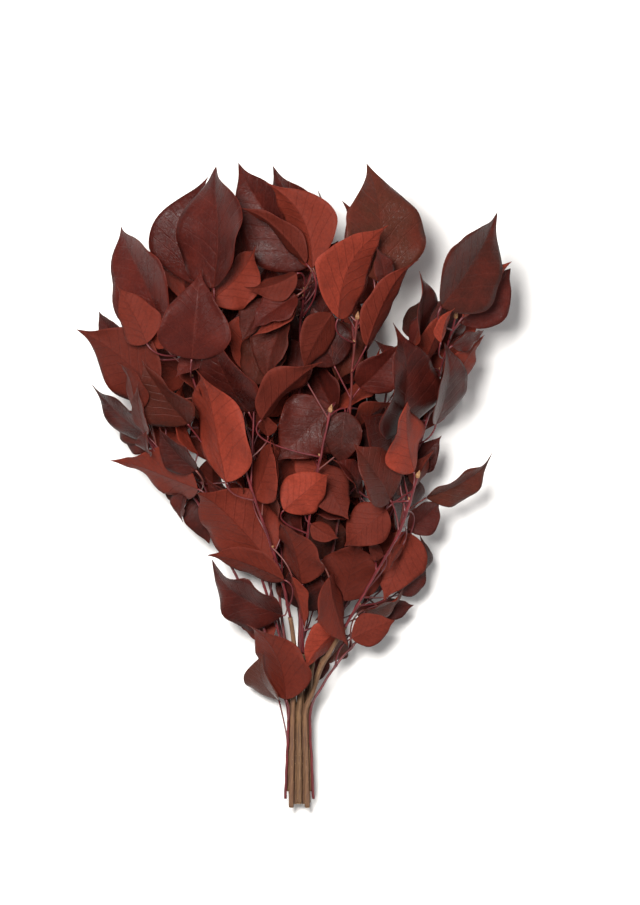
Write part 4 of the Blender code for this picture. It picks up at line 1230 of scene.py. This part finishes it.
def new_group(name, inputs, outputs):
    """A node group: an input with the default None is a vector, any other a number. Returns its graph, what
    it is given, by name, and the node that its results go to."""
    group = bpy.data.node_groups.new(name, "ShaderNodeTree")
    for socket, value in inputs.items():
        kind = "NodeSocketVector" if value is None else "NodeSocketFloat"
        made = group.interface.new_socket(socket, in_out="INPUT", socket_type=kind)
        if value is not None:
            made.default_value = value
    for socket in outputs:
        kind = "NodeSocketColor" if socket == "Colour" else "NodeSocketFloat"
        group.interface.new_socket(socket, in_out="OUTPUT", socket_type=kind)
    graph = Graph(group)
    return graph, graph.node("NodeGroupInput").outputs, graph.node("NodeGroupOutput")


@functools.lru_cache(maxsize=None)
def vein_group():
    """Masks of a leaf's veins from its uv: midrib and basal pair, side veins, and the net between them."""
    names = ("Main", "Side", "Net")
    graph, given, made = new_group("Leaf veins", {"UV": None, "Side veins": 8.0, "Width": 0.1}, names)
    uv = given["UV"]
    parts = graph.node("ShaderNodeSeparateXYZ", {0: uv})
    along = parts.outputs[0]
    offset = graph.math("SUBTRACT", parts.outputs[1], 0.5)
    away = graph.math("ABSOLUTE", offset)
    jitter = graph.times(graph.math("SUBTRACT", graph.noise(uv, 5.0, 1.0), 0.5), 0.05)
    rib_width = graph.math("MULTIPLY_ADD", along, -0.007, 0.0095)
    rib = graph.inverse(graph.ramp(graph.math("DIVIDE", away, rib_width), 0.3, 1.0))
    basal_way = graph.times(along, graph.math("MULTIPLY_ADD", along, -0.35, 0.62))
    basal_off = graph.math("ABSOLUTE", graph.math("SUBTRACT", graph.math("ADD", away, jitter), basal_way))
    basal = graph.inverse(graph.ramp(basal_off, 0.0005, 0.005))
    basal = graph.times(basal, graph.ramp(along, 0.62, 0.3))
    main = graph.math("MAXIMUM", rib, graph.times(basal, 0.7))
    bow = graph.times(away, graph.math("MULTIPLY_ADD", away, -0.7, 1.05))
    start = graph.math("ADD", graph.math("SUBTRACT", along, bow), jitter)
    turn = graph.times(graph.math("LESS_THAN", offset, 0.0), 0.45)
    phase = graph.math("ADD", graph.times(start, given["Side veins"]), turn)
    miss = graph.math("ABSOLUTE", graph.math("SUBTRACT", graph.math("FRACT", phase), 0.5))
    width = graph.times(given["Width"], graph.ramp(away, 0.4, 0.0, 0.45, 1.0))
    side = graph.inverse(graph.ramp(graph.math("DIVIDE", miss, width), 0.35, 1.0))
    side = graph.times(side, graph.ramp(start, 0.0, 0.08))
    mesh = graph.inverse(graph.ramp(graph.borders(uv, 34.0), 0.0, 0.09))
    finer = graph.inverse(graph.ramp(graph.borders(uv, 90.0), 0.0, 0.12))
    net = graph.math("MAXIMUM", mesh, graph.times(finer, 0.5))
    graph.fill(made, {"Main": main, "Side": side, "Net": net})
    return graph.tree


@functools.lru_cache(maxsize=None)
def leaf_colour_group():
    """The dyed colours of both faces of a leaf, chosen by leaf and broken up by veins and blotches, with a
    painted highlight lightening the outermost margin of each blade.
    """
    masks = {"Under": 0.0, "Main": 0.0, "Side": 0.0, "Net": 0.0, "Margin": 0.0}
    graph, given, made = new_group("Dyed leaf colour and margin highlight", {"Tone": None, **masks}, ("Colour", "Roughness"))
    pale, warm, dull = graph.node("ShaderNodeSeparateXYZ", {0: given["Tone"]}).outputs
    place = graph.place()
    cloud = graph.noise(place, 45.0, 5.0, 0.6)
    speck = graph.noise(place, 420.0, 3.0, 0.7)
    veins = graph.math("MAXIMUM", given["Main"], graph.times(given["Side"], 0.4))
    upper = graph.blend(pale, UPPER_DARK, UPPER_MAROON)
    upper = graph.blend(graph.ramp(warm, 0.55, 1.0), upper, UPPER_BROWN)
    upper = graph.blend(graph.ramp(cloud, 0.35, 0.75, 0.0, 0.45), upper, UPPER_WARM)
    upper = graph.blend(graph.times(veins, 0.14), upper, VEIN_UPPER)
    upper = graph.blend(graph.times(given["Net"], 0.06), upper, VEIN_UPPER)
    under = graph.blend(pale, UNDER_DEEP, UNDER_BRICK)
    under = graph.blend(graph.ramp(warm, 0.78, 1.0, 0.0, 0.75), under, UNDER_BRIGHT)
    under = graph.blend(graph.ramp(cloud, 0.4, 0.8, 0.0, 0.4), under, UNDER_DEEP)
    under = graph.blend(graph.times(veins, 0.5), under, VEIN_UNDER)
    under = graph.blend(graph.times(given["Net"], 0.14), under, VEIN_UNDER)
    both = graph.blend(given["Under"], upper, under)
    grain = graph.ramp(speck, 0.3, 0.7, 0.86, 1.12)
    grey = graph.node("ShaderNodeCombineColor", {0: grain, 1: grain, 2: grain}).outputs[0]
    both = graph.blend(1.0, both, grey, "MULTIPLY")
    # Painted highlight: the outermost margin of each blade is lightened, as if its rolled edge caught the
    # light.
    edge = graph.times(graph.ramp(given["Margin"], 0.975, 1.0), 0.3)
    both = graph.blend(edge, both, MARGIN_HIGHLIGHT)
    gloss = graph.math("ADD", graph.ramp(cloud, 0.3, 0.7, 0.24, 0.34), graph.times(dull, 0.1))
    matte = graph.ramp(speck, 0.3, 0.7, 0.55, 0.68)
    faces = {"Factor": given["Under"], "A": gloss, "B": matte}
    rough = graph.node("ShaderNodeMix", faces, data_type="FLOAT").outputs["Result"]
    graph.fill(made, {"Colour": both, "Roughness": rough})
    return graph.tree


@functools.lru_cache(maxsize=None)
def bark_group():
    """Bark from the uv of a stem: long streaks and pale lenticels."""
    graph, given, made = new_group("Bark", {"UV": None, "Shade": 0.5}, ("Colour", "Height"))
    streak = graph.noise(graph.stretch(given["UV"], 9.0, 60.0), 1.0, 7.0, 0.65)
    cells = {"Vector": graph.stretch(given["UV"], 5.0, 260.0), "Scale": 1.0}
    spots = graph.node("ShaderNodeTexVoronoi", cells).outputs["Distance"]
    lenticel = graph.inverse(graph.ramp(spots, 0.06, 0.2))
    tan = graph.blend(graph.ramp(streak, 0.3, 0.7), BARK_DARK, BARK_TAN)
    tan = graph.blend(graph.ramp(streak, 0.62, 0.8, 0.0, 0.6), tan, BARK_PALE)
    tan = graph.blend(graph.times(given["Shade"], 0.35), tan, BARK_RED)
    tan = graph.blend(graph.times(lenticel, 0.5), tan, BARK_PALE)
    height = graph.math("ADD", streak, graph.times(lenticel, 0.3))
    graph.fill(made, {"Colour": tan, "Height": height})
    return graph.tree


def new_material(name):
    """An empty material; returns it, its graph and its Principled shader."""
    material = bpy.data.materials.new(name)
    material.use_nodes = True
    return material, Graph(material.node_tree), material.node_tree.nodes["Principled BSDF"]


@functools.lru_cache(maxsize=None)
def leaf_material():
    """Both faces of a leaf: the upper one satin and dark, the under one matte and brick red."""
    material, graph, shader = new_material("dyed_leaf")
    under = graph.attribute("side")
    veins = graph.node("ShaderNodeGroup", {"UV": graph.uv()}, node_tree=vein_group()).outputs
    tone = {"Tone": graph.attribute("tone", "Vector"), "Under": under, "Margin": graph.attribute("margin")}
    masks = {name: veins[name] for name in ("Main", "Side", "Net")}
    look = graph.node("ShaderNodeGroup", {**tone, **masks}, node_tree=leaf_colour_group()).outputs
    raised = graph.math("MULTIPLY_ADD", under, 2.0, -1.0)
    lines = graph.math("ADD", veins["Side"], graph.times(veins["Net"], 0.35))
    place = graph.place()
    crease = graph.noise(place, 110.0, 4.0, 0.55)
    wrinkle = graph.noise(place, 420.0, 4.0, 0.6)
    height = graph.math("MULTIPLY_ADD", crease, 1.8, graph.times(lines, raised))
    height = graph.math("MULTIPLY_ADD", wrinkle, 0.5, height)
    normal = graph.bump(height, 0.6, 0.0004)
    graph.fill(shader, {"Base Color": look["Colour"], "Roughness": look["Roughness"], "Normal": normal})
    graph.fill(shader, {"IOR": 1.45, "Specular IOR Level": 0.12})
    return material


@functools.lru_cache(maxsize=None)
def shoot_material():
    """Burgundy petioles and shoots, streaked darker and here and there browner."""
    material, graph, shader = new_material("burgundy_shoot")
    streak = graph.noise(graph.stretch(graph.uv(), 6.0, 90.0), 1.0, 5.0)
    base = graph.blend(graph.ramp(streak, 0.3, 0.7), SHOOT_DARK, SHOOT_RED)
    base = graph.blend(graph.ramp(graph.attribute("shade"), 0.6, 1.0, 0.0, 0.6), base, SHOOT_BROWN)
    graph.fill(shader, {"Base Color": base, "Roughness": 0.45, "Normal": graph.bump(streak, 0.4, 0.0002)})
    return material


@functools.lru_cache(maxsize=None)
def bud_material():
    """Tan bud scales, streaked darker."""
    material, graph, shader = new_material("tan_bud")
    grain = graph.noise(graph.stretch(graph.uv(), 8.0, 500.0), 1.0, 4.0)
    base = graph.blend(graph.ramp(grain, 0.3, 0.7), BUD_DARK, BUD_TAN)
    base = graph.blend(graph.times(graph.attribute("shade"), 0.3), base, SHOOT_RED)
    graph.fill(shader, {"Base Color": base, "Roughness": 0.6, "Normal": graph.bump(grain, 0.5, 0.0002)})
    return material


@functools.lru_cache(maxsize=None)
def bark_material():
    """The tan bark of the woody stems."""
    material, graph, shader = new_material("tan_bark")
    given = {"UV": graph.uv(), "Shade": graph.attribute("shade")}
    bark = graph.node("ShaderNodeGroup", given, node_tree=bark_group()).outputs
    normal = graph.bump(bark["Height"], 0.7, 0.0005)
    graph.fill(shader, {"Base Color": bark["Colour"], "Roughness": 0.72, "Normal": normal})
    return material


@functools.lru_cache(maxsize=None)
def cut_material():
    """The pale grainy wood of a cut end."""
    material, graph, shader = new_material("cut_wood")
    base = graph.blend(graph.noise(graph.place(), 900.0, 4.0), CUT_DARK, CUT_PALE)
    graph.fill(shader, {"Base Color": base, "Roughness": 0.8})
    return material


def paper_material(tint):
    """The plain pale surface that the bunch lies on."""
    material, graph, shader = new_material("pale_table")
    graph.fill(shader, {"Base Color": tint, "Roughness": 0.9})
    return material


def put(piece, node):
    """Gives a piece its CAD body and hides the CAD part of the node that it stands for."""
    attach(piece, "root")
    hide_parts(node)


def number(name, description, default, **more):
    """A number that a user may change."""
    return bpy.props.FloatProperty(name=name, description=description, default=default, **more)


def length(name, description, default):
    """A length that a user may change."""
    return number(name, description, default, unit="LENGTH")


class BladeLook(bpy.types.PropertyGroup):
    rows: bpy.props.IntProperty(name="Rows", description="Points along a blade", default=30, min=8)
    columns: bpy.props.IntProperty(name="Columns", description="Points across a blade", default=17, min=5)
    thickness: length("Thickness", "Thickness of a blade", 0.4 * MM)
    rib_height: length("Rib height", "How far the midrib stands off the under face", 0.4 * MM)
    rib_width: length("Rib width", "Half width of the midrib", 0.6 * MM)
    side_veins: number("Side veins", "Side veins along a blade", 8.0)
    quilting: length("Quilting", "How far a blade swells between its side veins", 0.28 * MM)
    sway: length("Sway", "Size of the broad hollows and swellings of a blade", 0.5 * MM)
    ripple: length("Ripple", "Size of the waves of the margin", 1.5 * MM)
    drip: number("Drip tip", "How much narrower a blade is just before its tip", 0.34)
    full_width: length("Full width", "Width from which a blade waves fully", 48 * MM)


class ShootLook(bpy.types.PropertyGroup):
    petiole: length("Petiole radius", "Radius of a petiole halfway along", 0.68 * MM)
    bud_length: length("Bud length", "Length of the bud that ends a shoot", 7.5 * MM)


class StageLook(bpy.types.PropertyGroup):
    distance: length("Camera distance", "Height of the camera over the table", 5.0)
    floor: bpy.props.FloatVectorProperty(
        name="Table", description="Colour of the table", default=(0.87, 0.86, 0.85), subtype="COLOR", size=3
    )
    key: number("Key light", "Power of the key light in watts", 92.0)
    fill: number("Fill light", "Power of the fill light in watts", 8.0)
    room: number("Room light", "Strength of the light all round", 0.3)


# The stage: half the side of the table, how far it lies under the lowest leaf, the height at which a pixel
# has its real size, and the camera's sensor in millimetres.
TABLE_REACH = 6.0
TABLE_DROP = 0.4 * MM
PIXEL_HEIGHT = 0.09
SENSOR = 36.0


class IVY_OT_blades(bpy.types.Operator):
    """Build the leaf blades of every spray"""

    bl_idname = "ivy.blades"
    bl_label = "Leaf blades"

    def execute(self, context):
        look = context.scene.ivy_blades
        for name, leaves in laid_out().leaves.items():
            draw = random.Random(name)
            build = Build()
            for leaf in leaves:
                fine_blade(build, leaf, look, draw)
            put(build.piece("blades_" + name, [leaf_material()]), "spray_" + name)
        return {"FINISHED"}


class IVY_OT_shoots(bpy.types.Operator):
    """Build the shoots with their petioles and buds"""

    bl_idname = "ivy.shoots"
    bl_label = "Shoots and petioles"

    def execute(self, context):
        look = context.scene.ivy_shoots
        bunch = laid_out()
        for name, leaves in bunch.leaves.items():
            draw = random.Random("shoot " + name)
            build = Build()
            path = bunch.shoots[name]
            fine_shoot(build, path, leaves, draw)
            for leaf in leaves:
                fine_petiole(build, leaf, look, draw)
            way = path[-1] - path[-3]
            fine_bud(build, path[-4] - unit(way) * MM, way, look.bud_length, 3.4 * MM, draw, 1)
            for leaf in leaves[::2]:
                out = unit(leaf.petiole(0.2) - leaf.root) + unit(path[-1] - path[0])
                fine_bud(build, leaf.root + unit(out) * 0.6 * MM, out, 3 * MM, 1.7 * MM, draw, 1)
            piece = build.piece("shoots_" + name, [shoot_material(), bud_material()])
            put(piece, "spray_" + name)
        return {"FINISHED"}


class IVY_OT_woody_stems(bpy.types.Operator):
    """Build the woody lower stems with their bark and cut ends"""

    bl_idname = "ivy.woody_stems"
    bl_label = "Woody stems"

    def execute(self, context):
        for name, path in laid_out().woods.items():
            if path is None:
                continue
            build = Build()
            fine_wood(build, path, random.Random("wood " + name))
            put(build.piece("stem_" + name, [bark_material(), cut_material()]), "wood_" + name)
        return {"FINISHED"}


def area_light(name, place, turn, size, power, tint):
    """A soft square light, turned about X and Y by degrees."""
    light = bpy.data.lights.new(name, "AREA")
    light.size = size
    light.energy = power
    light.color = tint
    lamp = bpy.data.objects.new(name, light)
    lamp.location = place
    lamp.rotation_euler = (*map(math.radians, turn), 0)
    bpy.context.scene.collection.objects.link(lamp)


class IVY_OT_stage(bpy.types.Operator):
    """Set up the table, the light and the camera that looks straight down"""

    bl_idname = "ivy.stage"
    bl_label = "Stage"

    def execute(self, context):
        look = context.scene.ivy_stage
        mesh = bpy.data.meshes.new("table")
        corners = [(x * TABLE_REACH, y * TABLE_REACH, 0) for x, y in ((-1, -1), (1, -1), (1, 1), (-1, 1))]
        mesh.from_pydata(corners, [], [(0, 1, 2, 3)])
        mesh.materials.append(paper_material((*look.floor, 1.0)))
        table = bpy.data.objects.new("table", mesh)
        table.location.z = -TABLE_DROP
        context.scene.collection.objects.link(table)
        area_light("key", (-0.34, 0.42, 2.2), (-10.8, -8.6), 0.6, look.key, (1.0, 0.98, 0.95))
        area_light("fill", (1.5, -0.9, 1.6), (29, 41), 2.2, look.fill, (0.96, 0.98, 1.0))
        world = bpy.data.worlds.new("soft room")
        world.use_nodes = True
        backdrop = world.node_tree.nodes["Background"]
        backdrop.inputs["Color"].default_value = (1, 1, 1, 1)
        backdrop.inputs["Strength"].default_value = look.room
        context.scene.world = world
        camera = bpy.data.cameras.new("camera")
        camera.sensor_width = SENSOR
        camera.lens = SENSOR * (look.distance - PIXEL_HEIGHT) / (PHOTO_SIZE[1] * PIXEL)
        camera.clip_end = 50.0
        eye = bpy.data.objects.new("camera", camera)
        eye.location = spot(PHOTO_SIZE[0] / 2, PHOTO_SIZE[1] / 2, look.distance)
        context.scene.collection.objects.link(eye)
        context.scene.camera = eye
        context.scene.view_settings.view_transform = "Standard"
        context.scene.view_settings.look = "None"
        return {"FINISHED"}


class IVY_PT_panel(bpy.types.Panel):
    """Lists the steps that build the bunch"""

    bl_idname = "IVY_PT_panel"
    bl_label = "Preserved ivy bunch"
    bl_space_type = "VIEW_3D"
    bl_region_type = "UI"
    bl_category = "Ivy"

    def draw(self, context):
        for step in STEPS:
            self.layout.operator(step.bl_idname)


STEPS = (IVY_OT_blades, IVY_OT_shoots, IVY_OT_woody_stems, IVY_OT_stage)
LOOKS = (("ivy_blades", BladeLook), ("ivy_shoots", ShootLook), ("ivy_stage", StageLook))


def register():
    for _, look in LOOKS:
        bpy.utils.register_class(look)
    for kind in (*STEPS, IVY_PT_panel):
        bpy.utils.register_class(kind)
    for name, look in LOOKS:
        setattr(bpy.types.Scene, name, bpy.props.PointerProperty(type=look))


def unregister():
    for name, _ in LOOKS:
        delattr(bpy.types.Scene, name)
    for kind in (IVY_PT_panel, *STEPS[::-1]):
        bpy.utils.unregister_class(kind)
    for _, look in LOOKS[::-1]:
        bpy.utils.unregister_class(look)


def main():
    register()
    bpy.ops.ivy.blades()
    bpy.ops.ivy.shoots()
    bpy.ops.ivy.woody_stems()
    bpy.ops.ivy.stage()
    bpy.context.view_layer.update()


if __name__ == "__main__":
    main()
